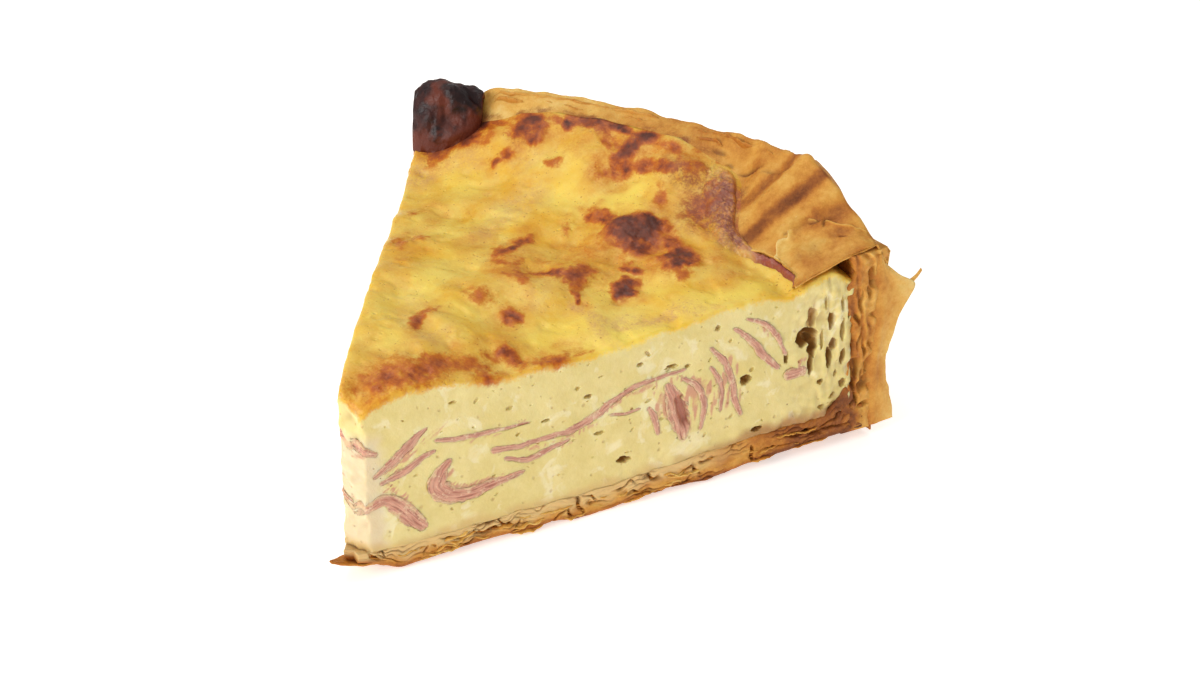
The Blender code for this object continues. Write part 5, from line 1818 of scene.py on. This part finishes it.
@dataclass
class ScorchedLump:
    """The scorched lump on the far corner of the rim."""

    layout: SliceLayout = LAYOUT
    first: float = 0.868
    last: float = 1.0
    middle_sweep: float = 0.945
    middle_radius: float = 112.8
    half_width: float = 6.9
    crown: float = 55.0
    seat_depth: float = 1.1
    wall_step: tuple[float, float] = (112.2, 113.6)
    shoulder: tuple[float, float] = (112.0, 117.5)
    shoulder_drop: float = 2.2
    roundness: float = 2.3
    end_width: float = 0.02 ** (1 / 2.3)
    crags: Points = ((1.3, 6.0), (0.6, 2.6), (0.22, 1.0))
    near_reach: float = 0.08
    far_reach: float = 0.072

    def rise(self, across: Array, sweep: float) -> Array:
        """Return how much of the crown's height a spot has.

        Args:
            across: Distance from the lump's middle as a share of its half width.
            sweep: Sweep of the spot.

        Returns:
            Shares from 0 at the rim of the lump to 1 on its crown.
        """
        side = self.near_reach if sweep < self.middle_sweep else self.far_reach
        away = np.abs(across) ** self.roundness + abs((sweep - self.middle_sweep) / side) ** self.roundness
        return np.maximum(1 - away, 0) ** (1 / self.roundness)

    def build(self, finish: Material) -> Piece:
        """Make the lump.

        Args:
            finish: The material.

        Returns:
            The dressed piece.
        """
        layout = self.layout
        rings, tall = [], []
        for sweep in np.linspace(self.first, self.last, 72):
            width = self.half_width * max(float(self.rise(np.zeros(1), float(sweep))[0]), self.end_width)
            width *= 1 + 0.1 * noise.noise((sweep * 60, 5.0, 2.0))
            steps = np.sin(np.linspace(-0.5, 0.5, 52) * math.pi)
            radius = self.middle_radius + steps * width
            below = layout.top(radius, sweep) - self.seat_depth
            wall = max(float(layout.top(layout.wall_inner_radius, sweep)), float(layout.rim(sweep)))
            below = below + (wall - below) * ease(*self.wall_step, radius) + 2 * layout.gap
            below = below - self.shoulder_drop * ease(*self.shoulder, radius)
            crown = self.rise((radius - self.middle_radius) / self.half_width, float(sweep))
            slope = 0.1 + 0.9 * ease(102.0, 110.6, radius + 1.4 * noise.noise((sweep * 40, 3.0, 1.0)))
            dome = np.maximum(below + (self.crown - below) * crown * slope, below + 0.4)
            tall.append(np.concatenate([0 * crown, np.maximum(crown * slope, 0)[::-1]]))
            seat = layout.place(radius, below, sweep)
            crust = layout.place(radius[::-1], dome[::-1], sweep)
            x, y, z = crust.T
            crag = np.array([sum(height * noise.noise(spot / size) for height, size in self.crags)
                             for spot in map(Vector, crust)])
            outward = np.stack([x - np.mean(x), y - np.mean(y), 1.2 * (z - 46)], 1)
            outward /= np.maximum(np.linalg.norm(outward, axis=1, keepdims=True), 0.1)
            crust = crust + outward * (crag * ease(0.1, 0.5, crown[::-1]))[:, None]
            rings.append(np.concatenate([seat, crust]))
        shell = Shell()
        shell.add_loft(np.array(rings), tall=np.array(tall))
        return dress(shell.make("scorched_crown"), finish, Slot.SCORCHED, "scorched_lump")


@dataclass
class HamEdge:
    """The edge of a ham slice that shows on top, beside the fold of the crust."""

    layout: SliceLayout = LAYOUT
    first: float = 0.02
    last: float = 0.37
    broadens: tuple[float, float] = (0.12, 0.2)
    widths: Points = ((0.02, 0.6), (0.06, 0.8), (0.1, 0.9), (0.14, 1.5), (0.18, 3.2), (0.21, 5.0),
                      (0.26, 8.4), (0.31, 11), (0.35, 9), (0.37, 5))

    def build(self, finish: Material) -> Piece:
        """Make the edge as a thin ruffled sheet that lies down where it is broad.

        Args:
            finish: The material.

        Returns:
            The dressed piece.
        """
        layout = self.layout
        skin = TopSkin(layout)
        sweep = np.linspace(self.first, self.last, 170)[:, None]
        v = np.linspace(0, 1, 40)[None, :]
        along = layout.along(sweep)
        width = smooth_curve(self.widths, sweep)
        width = width + waves(along, 0, (0.5, 2.2, 201), (0.25, 0.8, 202))
        shift = 0.5 * (self.last - self.first) / 21
        outer = np.minimum(layout.flap_edge(sweep - shift), layout.flap_edge(sweep + shift)) + 0.3
        radius = outer - np.maximum(width, 0.6) * v
        x, y = layout.plan(radius, sweep)
        broad = ease(*self.broadens, sweep)
        ruffle = np.abs(waves(x, y, (0.45, 2.6, 203), (0.3, 1.1, 204)))
        grains = waves(x, y, (0.3, 1.3, 205), (0.2, 0.7, 206))
        height = layout.top(radius, sweep) + skin.relief(radius, sweep) * broad
        height = height + (0.5 + ruffle) * (1 - broad) + (0.28 + grains) * broad + 0.3 * np.sin(np.pi * v)
        height = height - 1.3 * broad * ease(0.16, 0, v) - 0.9 * ease(0.7, 1, v)
        height = height - 0.8 * broad * ease(0.9, 1, (sweep - self.first) / (self.last - self.first))
        ragged = waves(x, y, (0.22, 2.4, 207), (0.12, 0.9, 208))
        fade = np.maximum(ease(0.45, 0.9, v + ragged), ease(0.31, 0.36, sweep + 0.1 * ragged))
        fade = np.maximum(fade, 0.8 * ease(0.2, 0.0, v + ragged)) * broad
        shell = Shell()
        shell.add_sheet(layout.place(radius, height, sweep), 0.7 - 0.35 * v, along=along, across=radius,
                        sunk=0.0, slack=0.4 * v, toasted=broad, raw=1 - broad, burnt=skin.mauve(x, y),
                        fade=fade, **skin.marks(x, y))
        return dress(shell.make("ham_edge_meat"), finish, Slot.HAM, "ham_edge")


def paint(red: int, green: int, blue: int) -> Paint:
    """Turn a display colour from 0 to 255 into a scene colour.

    Args:
        red: Red as a display shows it.
        green: Green as a display shows it.
        blue: Blue as a display shows it.

    Returns:
        The linear colour, with an alpha of 1.
    """
    channels = [value / 255 for value in (red, green, blue)]
    linear = [value / 12.92 if value <= 0.04045 else ((value + 0.055) / 1.055) ** 2.4 for value in channels]
    return (*linear, 1.0)


class Shade:
    """Short ways to add nodes to a shader tree."""

    def __init__(self, tree: Tree) -> None:
        """Work on a shader tree."""
        self.tree = tree

    def mark(self, name: str, strength: float = 1.0) -> Socket:
        """Read a vertex attribute as a number.

        Args:
            name: Name of the attribute.
            strength: What it is multiplied by.

        Returns:
            The number.
        """
        value = add_node(self.tree, "ShaderNodeAttribute", attribute_name=name).outputs["Fac"]
        return value if strength == 1.0 else self.times(value, strength)

    def place(self) -> Socket:
        """Read the Object coordinates."""
        return self.tree.nodes.new("ShaderNodeTexCoord").outputs["Object"]

    def math(self, operation: str, first: Value, second: Value) -> Socket:
        """Add a Math node and return its result."""
        return add_node(self.tree, "ShaderNodeMath", {0: first, 1: second}, operation=operation).outputs[0]

    def plus(self, first: Value, second: Value) -> Socket:
        """Add two numbers."""
        return self.math("ADD", first, second)

    def minus(self, first: Value, second: Value) -> Socket:
        """Take the second number from the first."""
        return self.math("SUBTRACT", first, second)

    def times(self, first: Value, second: Value) -> Socket:
        """Multiply two numbers."""
        return self.math("MULTIPLY", first, second)

    def vary(self, value: Value, cloud: Value, amount: float) -> Socket:
        """Move a value up and down by a share of a cloud that is 0.5 on average."""
        return self.plus(value, self.times(self.minus(cloud, 0.5), amount))

    def cloud(self, scale: Value, detail: float = 3.0, vector: Socket | None = None,
              warp: float = 0.0) -> Socket:
        """Add a noise between 0 and 1.

        Args:
            scale: Noise scale, about one over the size of a cloud in metres.
            detail: How many finer noises are in it.
            vector: Coordinates, or the Object coordinates where none are given.
            warp: How much it is distorted.

        Returns:
            The noise.
        """
        where = self.place() if vector is None else vector
        made = add_node(self.tree, "ShaderNodeTexNoise", {"Vector": where, "Scale": scale, "Detail": detail,
                                                          "Roughness": CLOUD_ROUGHNESS, "Distortion": warp})
        return made.outputs["Fac"]

    def spread(self, value: Value, low: Value, high: Value, to_low: float = 0.0,
               to_high: float = 1.0) -> Socket:
        """Map a value smoothly from one range to another and hold it there.

        Args:
            value: The value.
            low: Where the first range starts.
            high: Where the first range ends.
            to_low: Result at low and beyond it.
            to_high: Result at high and beyond it.

        Returns:
            The mapped value.
        """
        given = {"Value": value, "From Min": low, "From Max": high, "To Min": to_low, "To Max": to_high}
        made = add_node(self.tree, "ShaderNodeMapRange", given, interpolation_type="SMOOTHSTEP")
        return made.outputs["Result"]

    def blend(self, share: Value, first: Colour, second: Colour) -> Socket:
        """Mix two colours.

        Args:
            share: Share of the second colour.
            first: The colour where the share is 0.
            second: The colour where the share is 1.

        Returns:
            The mixed colour.
        """
        given = {"Factor": share, MIX_FIRST_COLOUR: first, MIX_SECOND_COLOUR: second}
        return add_node(self.tree, "ShaderNodeMix", given, data_type="RGBA").outputs[MIX_COLOUR_RESULT]

    def layers(self, base: Colour, *covers: tuple[Value, Colour]) -> Socket:
        """Lay colours over a base.

        Args:
            base: The lowest colour.
            covers: Share and colour of each layer, from the lowest up.

        Returns:
            The colour that shows.
        """
        for share, colour in covers:
            base = self.blend(share, base, colour)
        return base

    def ramp(self, share: Value, stops: Stops) -> Socket:
        """Read a colour ramp.

        Args:
            share: Where to read it.
            stops: Position and colour of each stop.

        Returns:
            The colour there.
        """
        made = add_node(self.tree, "ShaderNodeValToRGB", {"Fac": share})
        elements = made.color_ramp.elements
        while len(elements) < len(stops):
            elements.new(0.5)
        for element, (position, colour) in zip(elements, stops):
            element.position = position
            element.color = colour
        return made.outputs["Color"]

    def group(self, tree: Tree, **values: Value) -> Socket:
        """Add a shared group.

        Args:
            tree: The group.
            values: Values of its inputs, by name with underscores for spaces.

        Returns:
            Its first output.
        """
        made = add_node(self.tree, "ShaderNodeGroup", node_tree=tree)
        for name, value in values.items():
            connect(self.tree, made.inputs[name.replace("_", " ").title()], value)
        return made.outputs[0]

    def mottle(self, tree: Tree, broad: float, fine: float, share: float) -> Socket:
        """Add the group of broad clouds with finer ones in them.

        Args:
            tree: The group.
            broad: Size of the broad clouds in millimetres.
            fine: Size of the finer ones in millimetres.
            share: How much the finer ones count.

        Returns:
            Its level.
        """
        return self.group(tree, broad_size=broad, fine_size=fine, fine_share=share)

    def bump(self, height: Value, distance: float, strength: float) -> Socket:
        """Turn a height into a normal.

        Args:
            height: The height, as a share of the distance.
            distance: The height of 1, in millimetres.
            strength: How strongly it shows.

        Returns:
            The normal.
        """
        given = {"Strength": strength, "Distance": distance * METRES_PER_MILLIMETRE, "Height": height}
        return add_node(self.tree, "ShaderNodeBump", given).outputs["Normal"]


@dataclass(frozen=True)
class Gloss:
    """How light behaves at a surface and below it; depths are in millimetres."""

    roughness: tuple[float, float]
    specular: float = 0.5
    seep_share: float = 0.0
    seep_colour: Triple = (1.0, 0.5, 0.2)
    seep_depth: float = 0.0

    def close(self, shade: Shade, surface: Node, colour: Socket, cloud: Socket, normal: Socket) -> None:
        """Connect a finish to its shader.

        Args:
            shade: Helper of the material's tree.
            surface: The Principled BSDF.
            colour: Its base colour.
            cloud: Mask from 0 to 1 that varies the roughness.
            normal: Its bumped normal.
        """
        given = {"Base Color": colour, "Roughness": shade.spread(cloud, 0.0, 1.0, *self.roughness),
                 "Normal": normal, "Specular IOR Level": self.specular}
        if self.seep_share:
            given |= {"Subsurface Weight": self.seep_share, "Subsurface Radius": self.seep_colour,
                      "Subsurface Scale": self.seep_depth * METRES_PER_MILLIMETRE}
        for name, value in given.items():
            connect(shade.tree, surface.inputs[name], value)


def shared_group(name: str, inputs: dict[str, float], output: str) -> tuple[Shade, Node, Node]:
    """Start a shader group with float inputs.

    Args:
        name: Name of the group.
        inputs: Names and default values of its inputs.
        output: Name of its output: Mask for a number, Color for a colour.

    Returns:
        A helper for its tree, and its input and output nodes.
    """
    tree = bpy.data.node_groups.new(name, "ShaderNodeTree")
    for title, value in inputs.items():
        tree.interface.new_socket(title, in_out="INPUT", socket_type="NodeSocketFloat").default_value = value
    kind = "NodeSocketColor" if output == "Color" else "NodeSocketFloat"
    tree.interface.new_socket(output, in_out="OUTPUT", socket_type=kind)
    return Shade(tree), tree.nodes.new("NodeGroupInput"), tree.nodes.new("NodeGroupOutput")


def mottle_group() -> Tree:
    """Build the uneven colour that every baked food has: broad clouds with finer ones in them.

    Returns:
        The group, with sizes in millimetres.
    """
    sizes = {"Broad Size": 8.0, "Fine Size": 1.5, "Fine Share": 0.4}
    shade, given, result = shared_group("mottle", sizes, "Mask")
    broad, fine = (shade.math("DIVIDE", 1 / METRES_PER_MILLIMETRE, given.outputs[size])
                   for size in ("Broad Size", "Fine Size"))
    mixed = add_node(shade.tree, "ShaderNodeMix", {"Factor": given.outputs["Fine Share"],
                                                   "A": shade.cloud(broad, 2.0, warp=0.4),
                                                   "B": shade.cloud(fine, 4.0)})
    connect(shade.tree, result.inputs["Mask"], shade.spread(mixed.outputs["Result"], 0.28, 0.72))
    return shade.tree


def pit_group() -> Tree:
    """Build scattered round pits, as tiny bubbles leave.

    Returns:
        The group, with its spacing in millimetres and its size as a share of the spacing.
    """
    shade, given, result = shared_group("pits", {"Spacing": 2.0, "Size": 0.2, "Amount": 0.5}, "Mask")
    tree = shade.tree
    drift = add_node(tree, "ShaderNodeTexNoise", {"Vector": shade.place(), "Scale": PIT_DRIFT_SCALE})
    small = add_node(tree, "ShaderNodeVectorMath", {0: drift.outputs["Color"], "Scale": PIT_DRIFT},
                     operation="SCALE")
    warped = add_node(tree, "ShaderNodeVectorMath", {0: shade.place(), 1: small.outputs[0]}, operation="ADD")
    scale = shade.math("DIVIDE", 1 / METRES_PER_MILLIMETRE, given.outputs["Spacing"])
    cells = add_node(tree, "ShaderNodeTexVoronoi", {"Vector": warped.outputs[0], "Scale": scale},
                     feature="F1")
    split = add_node(tree, "ShaderNodeSeparateColor", {0: cells.outputs["Color"]})
    chosen = shade.math("LESS_THAN", split.outputs[0], given.outputs["Amount"])
    reach = shade.times(given.outputs["Size"], shade.plus(split.outputs[1], 0.4))
    dent = shade.spread(cells.outputs["Distance"], reach, 0.0)
    connect(tree, result.inputs["Mask"], shade.times(dent, chosen))
    return tree


@dataclass(frozen=True)
class BrownedSkin:
    """Colours of the baked top: yellow cheese and egg that turn golden, orange and brown."""

    clouds: Triple = (9.0, 1.2, 0.3)
    finer: Triple = (2.4, 0.5, 0.5)
    yellow: Paint = paint(233, 182, 46)
    pale: Paint = paint(242, 214, 108)
    bright: Paint = paint(247, 220, 98)
    golden: Paint = paint(206, 122, 20)
    veil: Paint = paint(202, 144, 104)
    mauve: Paint = paint(140, 76, 54)
    speck: Paint = paint(158, 74, 22)
    toast: Stops = ((0.0, paint(214, 150, 38)), (0.2, paint(206, 128, 28)), (0.4, paint(190, 100, 24)),
                    (0.6, paint(158, 74, 22)), (0.8, paint(116, 50, 22)), (1.0, paint(80, 34, 22)))

    def group(self, mottle: Tree) -> Tree:
        """Build the shared group that mixes the colours by the marks of a surface.

        Args:
            mottle: The group of clouds.

        Returns:
            The group.
        """
        shade, _, result = shared_group("browned", {}, "Color")
        clouds = shade.mottle(mottle, *self.clouds)
        finer = shade.mottle(mottle, *self.finer)
        level = shade.vary(shade.vary(shade.mark("toast"), finer, 0.22), clouds, 0.14)
        browned = shade.ramp(shade.times(shade.minus(level, 0.16), 1.15), self.toast)
        specks = shade.spread(shade.cloud(1500.0, 1.0), 0.69, 0.76)
        top = shade.layers(
            shade.blend(clouds, self.yellow, self.pale),
            (shade.mark("bright", 0.8), self.bright),
            (shade.times(shade.mark("gold"), shade.spread(finer, 0.0, 1.0, 0.55, 1.0)), self.golden),
            (shade.times(shade.mark("veil"), shade.spread(finer, 0.1, 0.9, 0.2, 0.9)), self.veil),
            (shade.spread(level, 0.12, 0.42), browned),
            (shade.times(specks, 0.5), self.speck),
            (shade.times(shade.mark("mauve"), shade.spread(finer, 0.1, 0.9, 0.2, 0.85)), self.mauve))
        connect(shade.tree, result.inputs["Color"], top)
        return shade.tree


@dataclass(frozen=True)
class Groups:
    """The shader groups that the finishes share."""

    mottle: Tree
    pits: Tree
    browned: Tree


def start_material(name: str) -> tuple[Material, Shade, Node]:
    """Make a material.

    Args:
        name: Its name.

    Returns:
        The material, a helper for its tree and its Principled BSDF.
    """
    made = bpy.data.materials.new(name)
    made.use_nodes = True
    return made, Shade(made.node_tree), made.node_tree.nodes["Principled BSDF"]


@dataclass(frozen=True)
class CustardFinish:
    """Pale set custard where it is cut, and a browned yellow skin on top."""

    clouds: Triple = (9.0, 1.2, 0.3)
    finer: Triple = (2.4, 0.5, 0.5)
    cut: Paint = paint(232, 215, 150)
    cut_shade: Paint = paint(219, 199, 126)
    curd: Paint = paint(244, 234, 198)
    damp: Paint = paint(212, 178, 114)
    brown: Paint = paint(166, 112, 60)
    # pale: the nose's pale cheese, partly painted glare.
    pale: Paint = paint(226, 206, 174)
    # hollow: painted shade, the brown laid into pits and deep inside bubbles and slots.
    hollow: Paint = paint(160, 104, 42)
    meat: Paint = paint(206, 146, 118)
    gloss: Gloss = Gloss((0.28, 0.5), 0.3, 0.3, (1.0, 0.7, 0.3), 2.2)

    def material(self, groups: Groups) -> Material:
        """Build the material.

        Args:
            groups: The shared groups.

        Returns:
            The material.
        """
        made, shade, surface = start_material("set_custard")
        clouds = shade.mottle(groups.mottle, *self.clouds)
        finer = shade.mottle(groups.mottle, *self.finer)
        pits = shade.group(groups.pits, spacing=1.9, size=0.24, amount=0.34)
        lumps = shade.spread(shade.cloud(210.0, 3.0, warp=0.6), 0.54, 0.68)
        smear = shade.spread(shade.vary(shade.mark("meat"), finer, 0.3), 0.15, 0.7, 0.0, 0.9)
        rim = shade.plus(shade.mark("depth"), shade.spread(finer, 0.0, 1.0, -0.5, 0.5))
        rim = shade.minus(rim, shade.mark("toast", 0.8))
        colour = shade.layers(
            shade.blend(clouds, self.cut_shade, self.cut),
            (shade.times(lumps, 0.5), self.curd),
            (shade.mark("pale", 0.75), self.pale),
            (smear, self.meat),
            (shade.mark("damp", 0.85), shade.blend(shade.mark("outer"), self.damp, self.brown)),
            # Painted shade: pits and the deep walls of bubbles and slots take the hollow brown.
            (shade.times(pits, 0.45), self.hollow),
            (shade.mark("hollow", 0.85), self.hollow),
            (shade.spread(rim, 1.7, 0.35), shade.group(groups.browned)))
        relief = shade.minus(shade.times(shade.cloud(1700.0, 3.0), 0.35), pits)
        relief = shade.plus(relief, shade.times(shade.cloud(420.0, 3.0), 0.6))
        self.gloss.close(shade, surface, colour, finer, shade.bump(relief, 0.22, 0.7))
        return made


@dataclass(frozen=True)
class FiloFinish:
    """Baked filo: thin, dry, golden to brown, damp where it meets the filling at the cuts."""

    clouds: Triple = (7.0, 1.0, 0.35)
    finer: Triple = (1.6, 0.35, 0.5)
    bakes: Stops = ((0.0, paint(238, 206, 134)), (0.25, paint(224, 176, 90)), (0.45, paint(208, 148, 64)),
                    (0.62, paint(184, 116, 44)), (0.8, paint(144, 82, 34)), (1.0, paint(96, 50, 24)))
    damp: Paint = paint(226, 194, 134)
    # dark: painted shade, laid into slits, hollows, grooves, torn dents and under the frills.
    dark: Paint = paint(98, 48, 22)
    stain: Paint = paint(138, 72, 38)
    gloss: Gloss = Gloss((0.42, 0.62), 0.2, 0.15, (1.0, 0.5, 0.2), 1.2)

    def material(self, groups: Groups) -> Material:
        """Build the material.

        Args:
            groups: The shared groups.

        Returns:
            The material.
        """
        made, shade, surface = start_material("baked_filo")
        clouds = shade.mottle(groups.mottle, *self.clouds)
        finer = shade.mottle(groups.mottle, *self.finer)
        level = shade.vary(shade.vary(shade.mark("bake"), clouds, 0.24), finer, 0.12)
        stained = shade.spread(shade.vary(shade.mark("stain"), finer, 0.3), 0.25, 0.95, 0.0, 0.85)
        colour = shade.layers(
            shade.ramp(shade.minus(level, shade.mark("sheet_edge", 0.08)), self.bakes),
            (shade.mark("damp", 0.85), self.damp),
            (stained, self.stain),
            # Painted shade from the dark mark.
            (shade.mark("dark", 0.85), self.dark))
        relief = shade.plus(shade.cloud(330.0, 4.0, warp=1.2), shade.times(shade.cloud(1400.0, 2.0), 0.3))
        self.gloss.close(shade, surface, colour, finer, shade.bump(relief, 0.2, 0.5))
        return made


@dataclass(frozen=True)
class HamFinish:
    """Cooked ham: soft pink, with paler fibres that run along the slice."""

    finer: Triple = (2.0, 0.5, 0.5)
    pink: Paint = paint(214, 158, 132)
    deep: Paint = paint(178, 112, 92)
    fat: Paint = paint(236, 206, 172)
    # pocket: painted shade in the pocket between the leaves of a folded strip.
    pocket: Paint = paint(172, 98, 76)
    toasted: Paint = paint(138, 74, 52)
    crisp: Paint = paint(198, 132, 66)
    raw: Paint = paint(142, 52, 40)
    smear: Paint = paint(222, 190, 144)
    gloss: Gloss = Gloss((0.3, 0.48), 0.5, 0.3, (1.0, 0.45, 0.35), 2.0)

    def material(self, groups: Groups) -> Material:
        """Build the material.

        Args:
            groups: The shared groups.

        Returns:
            The material.
        """
        made, shade, surface = start_material("cooked_ham")
        stretched = add_node(shade.tree, "ShaderNodeCombineXYZ",
                             {0: shade.mark("along", 0.26), 1: shade.mark("across", 2.3)})
        fibres = shade.cloud(1.0, 3.0, vector=stretched.outputs[0])
        finer = shade.mottle(groups.mottle, *self.finer)
        edge = shade.vary(shade.mark("slack"), finer, 0.7)
        grain = shade.vary(shade.mark("burnt"), finer, 1.1)
        colour = shade.layers(
            shade.blend(shade.spread(fibres, 0.36, 0.6), self.deep, self.pink),
            (shade.spread(finer, 0.6, 1.0, 0.0, 0.75), self.fat),
            (shade.spread(edge, 0.5, 1.15, 0.0, 0.85), self.smear),
            # Painted shade in the pocket.
            (shade.spread(shade.mark("sunk"), 0.2, 1.2, 0.0, 0.8), self.pocket),
            (shade.mark("raw", 0.8), self.raw),
            (shade.mark("toasted", 0.95),
             shade.blend(shade.spread(grain, 0.2, 0.95), self.crisp, self.toasted)),
            (shade.mark("fade"), shade.group(groups.browned)))
        relief = shade.plus(fibres, shade.times(shade.cloud(1600.0, 2.0), 0.3))
        self.gloss.close(shade, surface, colour, finer, shade.bump(relief, 0.3, 0.6))
        return made


@dataclass(frozen=True)
class ScorchedFinish:
    """Ham and cheese baked almost black, a little shiny."""

    clouds: Triple = (6.0, 1.2, 0.3)
    dark: Paint = paint(32, 15, 16)
    brown: Paint = paint(57, 25, 21)
    red: Paint = paint(98, 43, 28)
    gloss: Gloss = Gloss((0.32, 0.55), 0.3)

    def material(self, groups: Groups) -> Material:
        """Build the material.

        Args:
            groups: The shared groups.

        Returns:
            The material.
        """
        made, shade, surface = start_material("scorched_crown")
        clouds = shade.mottle(groups.mottle, *self.clouds)
        skirt = shade.spread(shade.minus(shade.mark("tall"), shade.times(clouds, 0.3)), 0.3, 0.0)
        embers = shade.spread(shade.cloud(150.0, 2.0), 0.54, 0.68)
        colour = shade.layers(
            shade.blend(shade.spread(clouds, 0.2, 0.75), self.dark, self.brown),
            (shade.math("MAXIMUM", skirt, embers), self.red))
        relief = shade.plus(shade.cloud(420.0, 4.0), shade.times(shade.cloud(1500.0, 2.0), 0.3))
        self.gloss.close(shade, surface, colour, clouds, shade.bump(relief, 0.5, 0.8))
        return made


@dataclass(frozen=True)
class Studio:
    """Floor, lights and camera."""

    camera_place: Triple = (-0.37690, -0.26564, 0.28755)
    camera_back: Triple = (-0.72662, -0.47912, 0.49242)
    lens: float = 78.78
    aim: Triple = (0, 0, 0.02)
    lamp_colour: Triple = (1.0, 0.99, 0.97)
    sky_colour: Paint = (1.0, 0.995, 0.985, 1)
    sky_strength: float = 0.47
    floor_colour: Paint = paint(246, 243, 240)

    def floor(self) -> None:
        """Add the pale floor."""
        bm = bmesh.new()
        bmesh.ops.create_grid(bm, x_segments=4, y_segments=4, size=3.0)
        mesh = bpy.data.meshes.new("floor")
        bm.to_mesh(mesh)
        bm.free()
        floor = bpy.data.objects.new("floor", mesh)
        bpy.context.scene.collection.objects.link(floor)
        made, _, surface = start_material("pale_floor")
        surface.inputs["Base Color"].default_value = self.floor_colour
        surface.inputs["Roughness"].default_value = 0.9
        surface.inputs["Emission Color"].default_value = self.floor_colour
        surface.inputs["Emission Strength"].default_value = 0.6
        mesh.materials.append(made)

    def lamp(self, name: str, place: Triple, size: float, power: float) -> None:
        """Add a square soft light that looks at the slice.

        Args:
            name: Its name.
            place: Where it stands, in metres.
            size: Length of its side, in metres.
            power: Its power in watts.
        """
        data = bpy.data.lights.new(name, "AREA")
        data.shape = "SQUARE"
        data.size = size
        data.energy = power
        data.color = self.lamp_colour
        lamp = bpy.data.objects.new(name, data)
        lamp.location = place
        lamp.rotation_euler = (Vector(self.aim) - Vector(place)).to_track_quat("-Z", "Y").to_euler()
        bpy.context.scene.collection.objects.link(lamp)

    def build(self) -> None:
        """Set up the whole studio."""
        self.floor()
        world = bpy.data.worlds.new("soft_room")
        world.use_nodes = True
        background = world.node_tree.nodes["Background"]
        background.inputs["Color"].default_value = self.sky_colour
        background.inputs["Strength"].default_value = self.sky_strength
        bpy.context.scene.world = world
        self.lamp("window", (-1.0, 0.25, 0.5), 0.5, 6.9)
        self.lamp("overhead", (0.1, 0.3, 1.2), 0.9, 4.6)
        data = bpy.data.cameras.new("photo_view")
        data.lens = self.lens
        data.sensor_width = 36.0
        data.clip_start = 0.01
        camera = bpy.data.objects.new("photo_view", data)
        camera.location = self.camera_place
        camera.rotation_euler = Vector(self.camera_back).to_track_quat("Z", "Y").to_euler()
        bpy.context.scene.collection.objects.link(camera)
        bpy.context.scene.camera = camera
        bpy.context.scene.view_settings.view_transform = "Standard"


def main() -> None:
    """Build the slice and the studio."""
    mottle = mottle_group()
    groups = Groups(mottle, pit_group(), BrownedSkin().group(mottle))
    custard_finish = CustardFinish().material(groups)
    filo_finish = FiloFinish().material(groups)
    ham_finish = HamFinish().material(groups)
    scorched_finish = ScorchedFinish().material(groups)
    strips = [HamStrip(name, knots, 20 + i, pocket=HAM_POCKETS.get(name, 0.0))
              for i, (name, knots) in enumerate(HAM_KNOTS.items())]
    Custard().build(custard_finish, [strip.slot() for strip in strips])
    for strip in strips:
        strip.build(ham_finish)
    Crust().build(filo_finish)
    ScorchedLump().build(scorched_finish)
    HamEdge().build(ham_finish)
    Studio().build()


if __name__ == "__main__":
    main()
